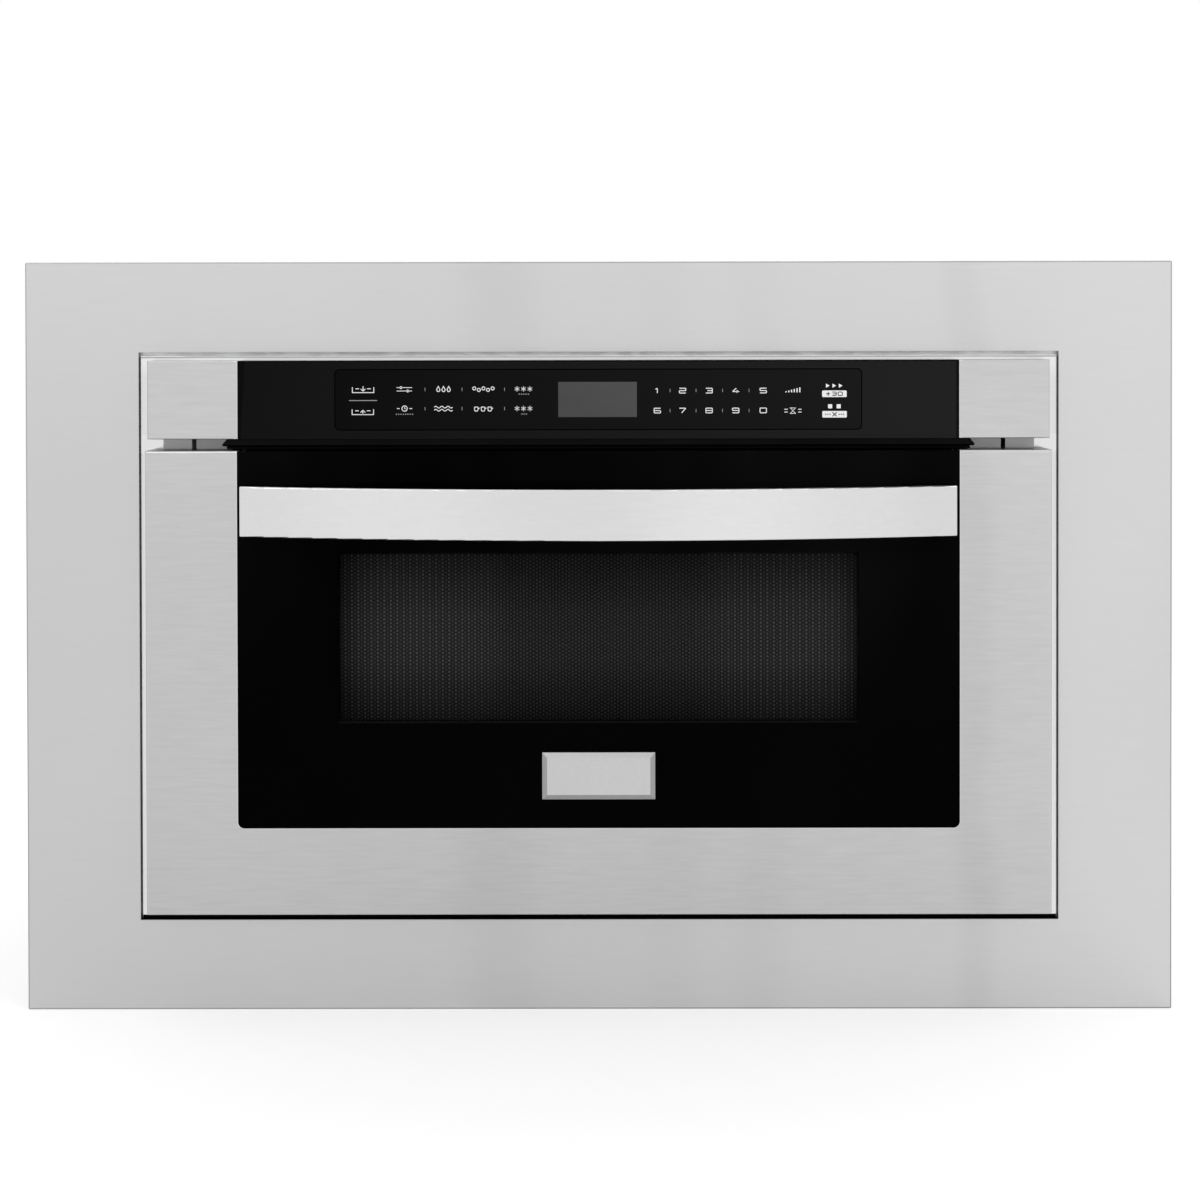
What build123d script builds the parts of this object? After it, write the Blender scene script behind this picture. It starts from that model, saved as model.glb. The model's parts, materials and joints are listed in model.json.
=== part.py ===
# Built-in microwave drawer with a flat picture-frame trim, in millimetres.
# X points right, Y into the cabinet and Z up, so the front faces -Y.
# The origin lies on the cabinet's face, in the middle of the four flange screw holes.
from build123d import *
import math
import os

# ---- trim ----
trim_width = 759.0
trim_height = 496.0
trim_depth = 8.0
trim_sheet = 1.2
trim_side_gap = 1.05
trim_end_gap = 2.9
trim_corner_radius = 1.0
trim_fold_radius = 0.6
backing_sheet = 1.2
backing_side_margin = 34.0
backing_end_margin = 34.0
backing_case_gap = 0.3
backing_stud_radius = 4.0
backing_stud_pitch = 150.0

# ---- front flange and its screws ----
flange_overhang = 25.4
flange_setback = 2.5
flange_sheet = 1.2
flange_side_strip = 33.7
flange_bottom_strip = 17.5
flange_boss_radius = 6.0
flange_hole_radius = 2.75
flange_hole_inset = 17.4
flange_hole_span_z = 220.0

# ---- outer case ----
case_width = 556.0
case_height = 371.0
case_depth = 584.0
case_sheet = 1.2
case_upturn = 12.0
base_setback = 0.3
case_screw_radius = 1.5
case_screw_length = 4.0
case_screw_head = 3.5
case_screw_head_height = 2.0
case_screw_pitch = 148.0
case_screw_top_x = 139.0
vent_slot_length = 110.0
vent_slot_height = 4.0
vent_slot_pitch = 9.0
vent_slot_count = 12
support_x = 121.0
support_width = 44.0
support_foot = 16.0
support_sheet = 2.0
support_inset = 10.0

# ---- control panel ----
panel_top_inset = 2.5
panel_height = 51.3
panel_proud = 19.0
panel_sheet = 1.2
panel_edge_radius = 0.6
corner_panel_width = 59.2
control_glass_thickness = 4.0
control_glass_recess = 0.2
control_glass_radius = 1.5
panel_glass_gap = 0.45
housing_wall = 2.0
touch_width = 344.8
touch_height = 39.9
touch_radius = 5.0
touch_depth = 0.5
touch_gap = 0.15
display_width = 51.4
display_height = 23.0
display_offset_x = -0.4
board_thickness = 1.6
board_width = 330.0
board_height = 40.0
board_standoff = 3.9
board_standoff_radius = 3.0
board_corner_inset = 7.0
relay_radius = 6.0
relay_height = 7.0
relay_pitch = 30.0
relay_inset = 25.0
visor_overhang = 10.65
visor_taper = 3.0
visor_height = 4.9
visor_setback = 1.0
visor_lip = 3.0

# ---- drawer front ----
front_side_gap = 8.4
front_bottom_gap = 7.1
front_slot = 7.3
front_proud = 27.0
front_sheet = 1.5
front_return = 27.0
front_edge_radius = 1.2
front_side_border = 60.15
front_bottom_strip = 56.9
door_glass_thickness = 4.0
door_glass_recess = 0.3
door_glass_gap = 0.3
door_glass_radius = 4.0
inner_frame_sheet = 2.0
window_width = 345.0
window_floor_gap = 18.4
window_top_gap = 45.6
screen_sheet = 0.8
screen_margin = 8.0
inner_window_thickness = 3.0
inner_window_margin = 10.0
choke_width = 14.5
choke_sheet = 1.5
choke_cover_thickness = 1.5
choke_face_gap = 1.0

# ---- handle and badge ----
handle_end_inset = 3.2
handle_height = 32.4
handle_thickness = 4.0
handle_end_standoff = 11.0
handle_bow = 35.4
handle_drop = 38.65
handle_edge_radius = 0.8
handle_post_inset = 21.65
handle_post_width = 12.0
handle_post_height = 26.0
handle_screw_radius = 2.0
handle_screw_bite = 5.5
handle_screw_head_height = 2.4
handle_screw_spacing = 14.0
badge_width = 73.5
badge_height = 30.5
badge_thickness = 3.0
badge_bevel = 3.2
badge_rim = 1.2
badge_rise = 34.0

# ---- drawer box and cavity ----
box_side_gap = 56.8
box_top_gap = 26.7
box_floor_rise = 102.4
box_sheet = 1.2
box_wall_setback = 16.7
box_floor_ledge = 20.0
tray_thickness = 5.0
tray_gap = 0.5
box_choke_gap = 0.3
cavity_side_gap = 6.8
cavity_top_gap = 3.0
cavity_floor_gap = 7.8
cavity_rear_gap = 18.4
cavity_sheet = 1.2
rear_bay_depth = 152.8
seam_width = 3.0
tab_width = 20.0
tab_pitch_z = 67.0
tab_x = 160.0

# ---- drawer travel, slides and drive ----
drawer_travel = 389.0
slide_length = 440.0
slide_front = 5.0
slide_side_gap = 16.8
slide_width = 11.0
slide_height = 45.0
slide_rise = 58.4
slide_sheet = 1.5
slide_gap = 0.4
slide_lip_gap = 0.5
slide_bracket_length = 60.0
slide_bracket_height = 36.0
slide_bracket_sheet = 2.0
slide_bracket_inset = 15.0
slide_foot_reach = 32.0
slide_slot_margin = 2.0
gear_module = 1.5
pinion_teeth = 16
gear_addendum = 0.85
gear_dedendum = 1.25
gear_backlash = 0.3
pressure_angle = 20.0
rack_width = 7.5
rack_front = 20.0
rack_height = 14.0
rack_pitch_drop = 8.0
rack_end_inset = 5.0
pinion_width = 6.0
pinion_hub_radius = 8.5
pinion_hub_length = 6.0
pinion_bore_gap = 0.02
shaft_radius = 5.0
shaft_y = 40.0
shaft_end_gap = 1.0
shaft_running_gap = 0.05
bearing_width = 12.0
bearing_depth = 24.0
bearing_inset = 29.0
bearing_foot = 4.0
gearbox_x = -123.0
gearbox_width = 54.0
gearbox_depth = 44.0
gearbox_drop = 25.0
gearbox_rise = 22.0
gearbox_foot_sheet = 2.0
drive_motor_radius = 20.0
drive_motor_length = 70.0

# ---- interlock ----
hook_side_gap = 26.8
hook_drop = 45.0
hook_thickness = 4.0
hook_height = 10.0
hook_reach = 24.0
hook_barb_length = 10.0
hook_barb_height = 4.0
hook_foot_sheet = 2.0
hook_slot_margin = 3.0
lever_gap = 0.5
lever_depth = 9.5
lever_length = 38.0
lever_pivot_setback = 6.0
lever_pin_radius = 2.5
lever_eye_wall = 5.0
lever_thickness = 4.0
switch_length = 30.0
switch_height = 16.0
switch_gap = 1.0
switch_stroke_gap = 4.5
switch_button = 3.0
switch_plate_sheet = 2.0
switch_plate_margin = 4.0

# ---- microwave feed ----
antenna_y = 200.0
antenna_radius = 60.0
antenna_sheet = 1.5
antenna_lift = 3.0
antenna_shaft_radius = 3.0
antenna_shaft_length = 12.0
antenna_slot_width = 24.0
antenna_slot_inset = 12.0
antenna_notch_width = 28.0
antenna_notch_inset = 22.0
antenna_motor_size = 50.0
antenna_motor_height = 22.0
coupling_radius = 20.0
waveguide_width = 100.0
waveguide_height = 26.8
waveguide_front = 150.0
waveguide_wall = 1.0
waveguide_end_margin = 4.0
magnetron_rear_gap = 49.8
magnetron_width = 96.0
magnetron_depth = 76.0
magnetron_height = 72.0
magnetron_sheet = 2.0
magnetron_core_radius = 18.0
magnetron_fins = 5
magnetron_fin_sheet = 0.8
magnetron_fin_inset = 6.0
magnetron_dome_radius = 8.0
magnetron_dome_length = 18.0
magnetron_port_radius = 12.0
filter_box_width = 62.4
filter_box_inset = 8.0
filter_box_height = 32.0

# ---- supply parts ----
supply_rear_gap = 87.8
transformer_x = -170.0
transformer_foot_width = 110.0
transformer_foot_depth = 84.0
transformer_foot_sheet = 2.0
transformer_core_width = 90.0
transformer_core_depth = 60.0
transformer_core_height = 72.0
transformer_coil_width = 60.0
transformer_coil_depth = 80.0
transformer_coil_height = 36.0
transformer_coil_rise = 18.0
transformer_coil_radius = 6.0
capacitor_x = 137.5
capacitor_width = 55.0
capacitor_length = 96.0
capacitor_height = 34.0
capacitor_radius = 16.0
capacitor_tab_pitch = 40.0
capacitor_tab_width = 7.0
capacitor_tab_height = 12.0
capacitor_tab_sheet = 1.0
filter_board_length = 90.0
filter_board_height = 80.0
filter_board_z = 20.0
filter_board_standoff = 12.4
filter_standoff_radius = 3.0
filter_standoff_inset = 6.0
filter_coil_depth = 22.0
filter_coil_size = 29.0
filter_coil_offset = 19.0
filter_cap_depth = 16.0
filter_cap_size = 30.0
filter_cap_offset = 18.0
gland_side_gap = 76.8
gland_drop = 54.3
gland_radius = 8.0
gland_bore_radius = 5.0
gland_flange_radius = 12.0
gland_flange_sheet = 3.0
gland_nut_thickness = 5.0
gland_inner_reach = 8.0
gland_proud = 6.0

# ---- cooling, lamp and wiring ----
fan_side_gap = 45.8
fan_top_gap = 33.3
fan_shroud_size = 132.0
fan_shroud_depth = 30.8
fan_bore_radius = 60.0
fan_tip_gap = 4.0
fan_hub_radius = 16.0
fan_hub_length = 18.0
fan_hub_setback = 5.0
fan_blades = 7
fan_blade_width = 24.0
fan_blade_sheet = 1.6
fan_blade_root = 4.0
fan_blade_pitch = 35.0
fan_motor_radius = 24.0
fan_motor_length = 32.0
fan_arm_width = 8.0
fan_arm_depth = 4.0
fan_arm_overlap = 3.0
fan_shaft_radius = 3.0
fan_shaft_length = 13.0
lamp_y = 150.0
lamp_drop = 45.0
lamp_plate_size = 44.0
lamp_plate_sheet = 3.0
lamp_hole_radius = 14.0
lamp_axis_gap = 16.0
lamp_bulb_radius = 10.0
lamp_bulb_offset = 2.0
lamp_cap_radius = 8.0
lamp_cap_front = 4.0
lamp_bracket_sheet = 4.0
lamp_bracket_reach = 26.0
lamp_bracket_height = 28.0
lamp_vent_radius = 1.8
lamp_vent_pitch = 7.0
loom_radius = 5.0
loom_x = 60.0
loom_bend = 14.0
loom_clearance = 3.0
loom_front_y = 55.0
loom_crossing_y = 120.0
loom_top_gap = 10.0
loom_bay_gap = 50.0
loom_bay_turn = 60.0
loom_mid_drop = 40.0
loom_end_drop = 60.0

# ---- planes and levels worked out from the sizes above ----
case_half = case_width / 2
case_top = case_height / 2
case_inner_half = case_half - case_sheet
case_floor = -case_top + case_sheet
case_ceiling = case_top - case_sheet
rear_inner = case_depth - case_sheet
flange_half = case_half + flange_overhang
flange_top = case_top
opening_half = flange_half + trim_side_gap
opening_top = flange_top + trim_end_gap
trim_half = trim_width / 2
trim_top = trim_height / 2
trim_front = -trim_depth
backing_edge = trim_half - trim_sheet - backing_side_margin
backing_top = trim_top - trim_sheet - backing_end_margin
flange_hole_x = flange_half - flange_hole_inset
flange_front = trim_front + flange_setback
flange_back = -backing_sheet
panel_top = flange_top - panel_top_inset
panel_bottom = panel_top - panel_height
panel_front = trim_front - panel_proud
panel_mid_z = (panel_top + panel_bottom) / 2
front_half = flange_half - front_side_gap
control_half = front_half - corner_panel_width - panel_glass_gap
control_front = panel_front + control_glass_recess
control_back = control_front + control_glass_thickness
visor_half = control_half + visor_overhang
front_top = panel_bottom - front_slot
front_bottom = -flange_top + front_bottom_gap
front_face = trim_front - front_proud
front_rear = front_face + front_return
door_glass_half = front_half - front_side_border
door_glass_front = front_face + door_glass_recess
door_glass_back = door_glass_front + door_glass_thickness
door_glass_bottom = front_bottom + front_bottom_strip
door_glass_top = front_top - door_glass_gap
frame_half = front_half - front_sheet
frame_top = front_top - front_sheet
frame_bottom = front_bottom + front_sheet
frame_front = door_glass_back
frame_back = frame_front + inner_frame_sheet
cavity_back = rear_inner - rear_bay_depth - cavity_sheet
box_half = case_half - box_side_gap
box_inner_half = box_half - box_sheet
box_front = frame_back + box_wall_setback
box_interior_front = box_front + box_sheet
box_back = cavity_back - cavity_rear_gap
box_interior_back = box_back - box_sheet
box_floor_z = front_bottom + box_floor_rise
box_top = panel_bottom - box_top_gap
tray_bottom = box_floor_z - tray_thickness
box_bottom = tray_bottom - box_sheet
window_half = window_width / 2
window_low = box_floor_z + window_floor_gap
window_high = box_top - window_top_gap
cavity_half = box_half + cavity_side_gap
cavity_top = box_top + cavity_top_gap
cavity_floor = box_bottom - cavity_floor_gap
cavity_outer_half = cavity_half + cavity_sheet
cavity_underside = cavity_floor - cavity_sheet
plate_back = flange_front + flange_sheet
choke_back = flange_front - choke_face_gap
choke_inner_half = box_half + box_choke_gap
choke_inner_top = box_top + box_choke_gap
choke_inner_bottom = box_bottom - box_choke_gap
mouth_half = flange_half - flange_side_strip
mouth_top = panel_bottom + seam_width
mouth_bottom = -flange_top + flange_bottom_strip
slide_centre_z = front_bottom + slide_rise
slide_outer_x = case_inner_half - slide_side_gap
slide_inner_x = slide_outer_x - slide_width
slide_back = slide_front + slide_length
slide_outer_half = slide_height / 2
slide_middle_half = slide_outer_half - slide_sheet - slide_gap
slide_inner_half = slide_middle_half - slide_sheet - slide_gap
gear_pitch = math.pi * gear_module
pinion_pitch_radius = gear_module * pinion_teeth / 2
rack_pitch_z = slide_centre_z - rack_pitch_drop
shaft_z = rack_pitch_z - pinion_pitch_radius
hook_x = case_inner_half - hook_side_gap
hook_z = box_top - hook_drop
lever_front = hook_reach + lever_gap
lever_pivot_y = hook_reach + lever_pivot_setback
lever_pivot_z = hook_z + lever_length
handle_half = door_glass_half - handle_end_inset
handle_post_x = handle_half - handle_post_inset
handle_z = front_top - handle_drop
handle_face_end = front_face - handle_end_standoff
badge_z = door_glass_bottom + badge_rise
magnetron_y = rear_inner - magnetron_rear_gap - magnetron_depth / 2
waveguide_bottom = cavity_underside - waveguide_height
waveguide_back = magnetron_y + magnetron_depth / 2 + waveguide_end_margin
supply_y = rear_inner - supply_rear_gap
gland_x = case_inner_half - gland_side_gap
gland_z = case_ceiling - gland_drop
fan_x = -(case_inner_half - fan_side_gap - fan_shroud_size / 2)
fan_z = case_ceiling - fan_top_gap - fan_shroud_size / 2
lamp_z = box_top - lamp_drop
cable_hole_radius = loom_radius + loom_clearance

parts = {}


# ---- small shape helpers ----
def block(x_low, x_high, y_low, y_high, z_low, z_high):
    middle = Pos((x_low + x_high) / 2, (y_low + y_high) / 2, (z_low + z_high) / 2)
    return middle * Box(x_high - x_low, y_high - y_low, z_high - z_low)


def wide(half, y_low, y_high, z_low, z_high):
    return block(-half, half, y_low, y_high, z_low, z_high)


def rod_x(x_low, x_high, y, z, radius):
    return Pos((x_low + x_high) / 2, y, z) * Rot(0, 90, 0) * Cylinder(radius, x_high - x_low)


def rod_y(y_low, y_high, x, z, radius):
    return Pos(x, (y_low + y_high) / 2, z) * Rot(90, 0, 0) * Cylinder(radius, y_high - y_low)


def rod_z(z_low, z_high, x, y, radius):
    return Pos(x, y, (z_low + z_high) / 2) * Cylinder(radius, z_high - z_low)


def other_side(shape):
    return mirror(shape, about=Plane.YZ)


def group(shapes):
    solids = []
    for shape in shapes:
        solids.extend(shape.solids())
    return Compound(solids)


def round_y_edges(shape, radius):
    return fillet(shape.edges().filter_by(Axis.Y), radius)


# ---- trim and flange ----
def make_trim_frame():
    outer = wide(trim_half, trim_front, 0, -trim_top, trim_top)
    outer = round_y_edges(outer, trim_corner_radius)
    outer = fillet(outer.faces().sort_by(Axis.Y)[0].edges(), trim_fold_radius)
    inset_half = trim_half - trim_sheet
    inset_top = trim_top - trim_sheet
    rim_half = opening_half + trim_sheet
    rim_top = opening_top + trim_sheet
    hollow = wide(inset_half, trim_front + trim_sheet, 1, -inset_top, inset_top)
    hollow -= wide(rim_half, trim_front, 1, -rim_top, rim_top)
    mouth = wide(opening_half, trim_front - 1, 1, -opening_top, opening_top)
    seat = wide(rim_half, -backing_sheet, 1, -rim_top, rim_top)
    return outer - hollow - mouth - seat


def make_backing_side():
    plate = block(case_half + 1, backing_edge, -backing_sheet, 0, -case_top, case_top)
    stud_x = (opening_half + trim_sheet + backing_edge) / 2
    for step in (-1, 0, 1):
        stud_z = step * backing_stud_pitch
        plate += rod_y(trim_front + trim_sheet, -backing_sheet, stud_x, stud_z, backing_stud_radius)
    for side in (-1, 1):
        hole_z = side * flange_hole_span_z / 2
        plate -= rod_y(-backing_sheet - 1, 1, flange_hole_x, hole_z, flange_hole_radius)
    return plate


def make_backing_strip():
    low = case_top + backing_case_gap
    strip = wide(backing_edge, -backing_sheet, 0, low, backing_top)
    stud_z = (opening_top + trim_sheet + backing_top) / 2
    for step in (-1, 0, 1):
        stud_x = step * backing_stud_pitch
        strip += rod_y(trim_front + trim_sheet, -backing_sheet, stud_x, stud_z, backing_stud_radius)
    return strip


def make_backing_plates():
    side = make_backing_side()
    strip = make_backing_strip()
    return group([side, other_side(side), strip, mirror(strip, about=Plane.XY)])


def make_front_flange():
    flange = wide(flange_half, flange_front, flange_back, -flange_top, flange_top)
    inset_half = flange_half - flange_sheet
    inset_top = flange_top - flange_sheet
    rim_half = mouth_half + flange_sheet
    hollow = wide(inset_half, flange_front + flange_sheet, 0, -inset_top, inset_top)
    hollow -= wide(rim_half, flange_front, 0, mouth_bottom - flange_sheet, mouth_top + flange_sheet)
    flange -= hollow
    holes = []
    for side_x in (-1, 1):
        for side_z in (-1, 1):
            x = side_x * flange_hole_x
            z = side_z * flange_hole_span_z / 2
            flange += rod_y(flange_front, flange_back, x, z, flange_boss_radius)
            holes.append(rod_y(flange_front - 1, 1, x, z, flange_hole_radius))
    flange -= wide(mouth_half, flange_front - 1, 1, mouth_bottom, mouth_top)
    flange -= holes
    return flange - rod_y(flange_front - 1, 1, loom_x, panel_mid_z, cable_hole_radius)


# ---- outer case ----
def case_screw_places():
    side_x = case_inner_half - case_upturn / 2
    end_z = case_ceiling - case_upturn / 2
    places = []
    for side in (-1, 1):
        for level in (-1, 0, 1):
            places.append((side * side_x, level * case_screw_pitch))
        places.append((side * case_screw_top_x, end_z))
    return places


def make_base_pan():
    front = base_setback
    pan = wide(case_half, front, rear_inner, -case_top, case_floor)
    upturn_x = case_inner_half - case_sheet
    upturn_top = case_floor + case_upturn
    upturn = block(upturn_x, case_inner_half, front, rear_inner, case_floor, upturn_top)
    x_low = support_x
    x_high = support_x + support_width
    y_high = box_interior_back - support_inset
    y_low = y_high - support_foot
    leg = block(x_low, x_high, y_high, y_high + support_sheet, case_floor, cavity_underside)
    leg += block(x_low, x_high, y_low, y_high, case_floor, case_floor + support_sheet)
    leg += block(x_low, x_high, y_low, y_high, cavity_underside - support_sheet, cavity_underside)
    return pan + upturn + other_side(upturn) + leg + other_side(leg)


def make_case_cover():
    cover = wide(case_half, flange_back, rear_inner, case_floor, case_top)
    cover -= wide(case_inner_half, flange_back - 1, rear_inner + 1, case_floor - 1, case_ceiling)
    flap_x = case_inner_half - case_upturn
    flap_low = case_floor + case_upturn + 2
    flap = block(flap_x, case_inner_half, rear_inner - case_sheet, rear_inner, flap_low, case_ceiling)
    flap_top = case_ceiling - case_upturn
    lip = wide(flap_x, rear_inner - case_sheet, rear_inner, flap_top, case_ceiling)
    cover += [flap, other_side(flap), lip]
    for x, z in case_screw_places():
        cover -= rod_y(rear_inner - 5, rear_inner + 1, x, z, case_screw_radius + 0.1)
    return cover


def make_rear_panel():
    panel = wide(case_half, rear_inner, case_depth, -case_top, case_top)
    slots = []
    for centre_x, centre_z in ((fan_x, fan_z), (-fan_x, -fan_z)):
        for step in range(vent_slot_count):
            z = centre_z + (step - (vent_slot_count - 1) / 2) * vent_slot_pitch
            low_x = centre_x - vent_slot_length / 2
            high_x = centre_x + vent_slot_length / 2
            slot_low = z - vent_slot_height / 2
            slot_high = z + vent_slot_height / 2
            slots.append(block(low_x, high_x, rear_inner - 1, case_depth + 1, slot_low, slot_high))
    for x, z in case_screw_places():
        slots.append(rod_y(rear_inner - 1, case_depth + 1, x, z, case_screw_radius + 0.1))
    slots.append(rod_y(rear_inner - 1, case_depth + 1, gland_x, gland_z, gland_radius + 0.1))
    return panel - slots


def make_case_screws():
    screws = []
    for x, z in case_screw_places():
        shank = rod_y(rear_inner - case_screw_length, case_depth, x, z, case_screw_radius)
        head = rod_y(case_depth, case_depth + case_screw_head_height, x, z, case_screw_head)
        screws.append(shank + head)
    return group(screws)


# ---- control panel ----
def make_corner_panel():
    inner_x = control_half + panel_glass_gap
    panel = block(inner_x, front_half, panel_front, flange_front, panel_bottom, panel_top)
    panel = fillet(panel.faces().sort_by(Axis.Y)[0].edges(), panel_edge_radius)
    low_x = inner_x + panel_sheet
    high_x = front_half - panel_sheet
    low_z = panel_bottom + panel_sheet
    high_z = panel_top - panel_sheet
    return panel - block(low_x, high_x, panel_front + panel_sheet, 0, low_z, high_z)


def make_control_housing():
    housing = wide(control_half, control_back, flange_front, panel_bottom, panel_top)
    low_z = panel_bottom + housing_wall
    high_z = panel_top - housing_wall
    back_wall = flange_front - housing_wall
    housing -= wide(control_half - housing_wall, control_back - 1, back_wall, low_z, high_z)
    return housing - rod_y(back_wall - 1, 0, loom_x, panel_mid_z, cable_hole_radius)


def make_control_glass():
    glass = wide(control_half, control_front, control_back, panel_bottom, panel_top)
    top_edges = glass.edges().filter_by(Axis.Y).group_by(Axis.Z)[-1]
    glass = fillet(top_edges, control_glass_radius)
    pocket_half = touch_width / 2 + touch_gap
    pocket_rise = touch_height / 2 + touch_gap
    pocket = wide(pocket_half, control_front - 1, control_front + touch_depth,
                  panel_mid_z - pocket_rise, panel_mid_z + pocket_rise)
    return glass - round_y_edges(pocket, touch_radius)


def display_block(margin, y_low, y_high):
    half = display_width / 2 + margin
    rise = display_height / 2 + margin
    return block(display_offset_x - half, display_offset_x + half, y_low, y_high,
                 panel_mid_z - rise, panel_mid_z + rise)


def make_touch_membrane():
    half = touch_width / 2
    rise = touch_height / 2
    back = control_front + touch_depth
    sheet = wide(half, control_front, back, panel_mid_z - rise, panel_mid_z + rise)
    sheet = round_y_edges(sheet, touch_radius)
    return sheet - display_block(touch_gap, control_front - 1, back + 1)


def make_display_window():
    return display_block(0, control_front, control_front + touch_depth)


def board_back():
    return flange_front - housing_wall - board_standoff


def make_display_module():
    return display_block(housing_wall, control_back, board_back() - board_thickness)


def make_control_board():
    half = board_width / 2
    rise = board_height / 2
    back = board_back()
    front = back - board_thickness
    board = wide(half, front, back, panel_mid_z - rise, panel_mid_z + rise)
    for side_x in (-1, 1):
        for side_z in (-1, 1):
            x = side_x * (half - board_corner_inset)
            z = panel_mid_z + side_z * (rise - board_corner_inset)
            board += rod_y(back, back + board_standoff, x, z, board_standoff_radius)
        for step in range(3):
            x = side_x * (half - relay_inset - step * relay_pitch)
            board += rod_y(front - relay_height, front, x, panel_mid_z, relay_radius)
    return board


def make_vent_visor():
    front = panel_front + visor_setback
    low = panel_bottom - visor_height
    outline = Polyline(
        (flange_front, panel_bottom),
        (front, panel_bottom),
        (front - 0.5, low + visor_height * 0.2),
        (front + visor_lip, low),
        (flange_front, low),
        close=True,
    )
    half = visor_half
    bar = extrude(Plane.YZ.offset(-half) * make_face(outline), amount=2 * half)
    cutter = Polyline(
        (half - visor_taper, panel_bottom),
        (half + 1, panel_bottom),
        (half + 1, panel_bottom - visor_height),
        (half, panel_bottom - visor_height * 0.7),
        close=True,
    )
    corner = extrude(Plane.XZ.offset(-1) * make_face(cutter), amount=60)
    return bar - corner - other_side(corner)


# ---- drawer front ----
def front_cut(margin):
    half = door_glass_half + door_glass_gap
    low = door_glass_bottom - door_glass_gap
    cut = wide(half, front_face - 1, front_face + front_sheet + margin, low, front_top + 20)
    return round_y_edges(cut, door_glass_radius + door_glass_gap)


def make_drawer_front_panel():
    shell = wide(front_half, front_face, front_rear, front_bottom, front_top)
    front_edges = shell.faces().sort_by(Axis.Y)[0].edges()
    shell = fillet(front_edges, front_edge_radius)
    shell -= wide(frame_half, front_face + front_sheet, front_rear + 1, frame_bottom, frame_top)
    shell -= front_cut(0.1)
    half = door_glass_half + door_glass_gap
    return shell - wide(half, front_face - 1, front_rear + 1, frame_top - 0.1, front_top + 1)


def handle_screw_places():
    places = []
    for side in (-1, 1):
        for level in (-0.5, 0.5):
            places.append((side * handle_post_x, handle_z + level * handle_screw_spacing))
    return places


def make_door_glass():
    half = door_glass_half
    glass = wide(half, door_glass_front, door_glass_back, door_glass_bottom, door_glass_top)
    low_edges = glass.edges().filter_by(Axis.Y).group_by(Axis.Z)[0]
    glass = fillet(low_edges, door_glass_radius)
    for x, z in handle_screw_places():
        glass -= rod_y(door_glass_front - 1, door_glass_back + 1, x, z, handle_screw_radius + 0.1)
    return glass


def window_block(margin, y_low, y_high):
    return wide(window_half + margin, y_low, y_high, window_low - margin, window_high + margin)


def make_door_inner_frame():
    frame = wide(frame_half, frame_front, front_rear, frame_bottom, frame_top)
    half = frame_half - inner_frame_sheet
    low = frame_bottom + inner_frame_sheet
    high = frame_top - inner_frame_sheet
    frame -= wide(half, frame_back, front_rear + 1, low, high)
    frame -= window_block(0, frame_front - 1, frame_back + 1)
    for x, z in handle_screw_places():
        frame -= rod_y(frame_front - 1, frame_back + 1, x, z, handle_screw_radius + 0.1)
    return frame


def make_window_screen():
    return window_block(screen_margin, frame_back, frame_back + screen_sheet)


def make_inner_window():
    return window_block(inner_window_margin, box_front - inner_window_thickness, box_front)


def choke_ring(grow, y_low, y_high):
    half = choke_inner_half + grow
    return wide(half, y_low, y_high, choke_inner_bottom - grow, choke_inner_top + grow)


def make_choke_frame():
    ring = choke_ring(choke_width, frame_back, choke_back)
    ring -= choke_ring(0, frame_back - 1, choke_back + 1)
    groove = choke_ring(choke_width - choke_sheet, frame_back + choke_sheet, choke_back + 1)
    groove -= choke_ring(choke_sheet, frame_back, choke_back + 2)
    return ring - groove


def make_choke_cover():
    front = choke_back - choke_cover_thickness
    ring = choke_ring(choke_width - choke_sheet, front, choke_back)
    return ring - choke_ring(choke_sheet, front - 1, choke_back + 1)


# ---- handle and badge ----
def handle_arc(offset, reach):
    end = (reach, handle_face_end + offset)
    crown = (0, handle_face_end - handle_bow + offset)
    start = (-reach, handle_face_end + offset)
    return ThreePointArc(start, crown, end)


def make_handle_bar():
    front = handle_arc(0, handle_half)
    back = handle_arc(handle_thickness, handle_half)
    left = Line(front @ 0, back @ 0)
    right = Line(front @ 1, back @ 1)
    face = make_face([front, right, back, left])
    rise = handle_height / 2
    bar = extrude(Plane.XY.offset(handle_z - rise) * face, amount=handle_height)
    ends = bar.faces().filter_by(Axis.Z)
    edges = ends[0].edges() + ends[1].edges()
    return fillet(edges, handle_edge_radius)


def make_handle_posts(bar):
    half_width = handle_post_width / 2
    half_height = handle_post_height / 2
    share = handle_post_x / handle_half
    reach = handle_face_end - handle_bow * (1 - share * share) + handle_thickness / 2
    post = block(handle_post_x - half_width, handle_post_x + half_width,
                 reach, door_glass_front, handle_z - half_height, handle_z + half_height)
    post = post - bar
    post = post.solids().sort_by(Axis.Y)[-1]
    for x, z in handle_screw_places():
        bite = handle_screw_bite + 0.5
        post = post - rod_y(door_glass_front - bite, door_glass_front + 1, x, z, handle_screw_radius)
    return group([post, other_side(post)])


def make_handle_screws():
    screws = []
    for x, z in handle_screw_places():
        tip = door_glass_front - handle_screw_bite
        shank = rod_y(tip, frame_back, x, z, handle_screw_radius - 0.05)
        head_back = frame_back + handle_screw_head_height
        head = rod_y(frame_back, head_back, x, z, handle_screw_radius * 2)
        screws.append(shank + head)
    return group(screws)


def badge_outline(inset, y):
    plane = Plane(origin=(0, y, badge_z), x_dir=(1, 0, 0), z_dir=(0, -1, 0))
    return plane * Rectangle(badge_width - 2 * inset, badge_height - 2 * inset)


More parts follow.
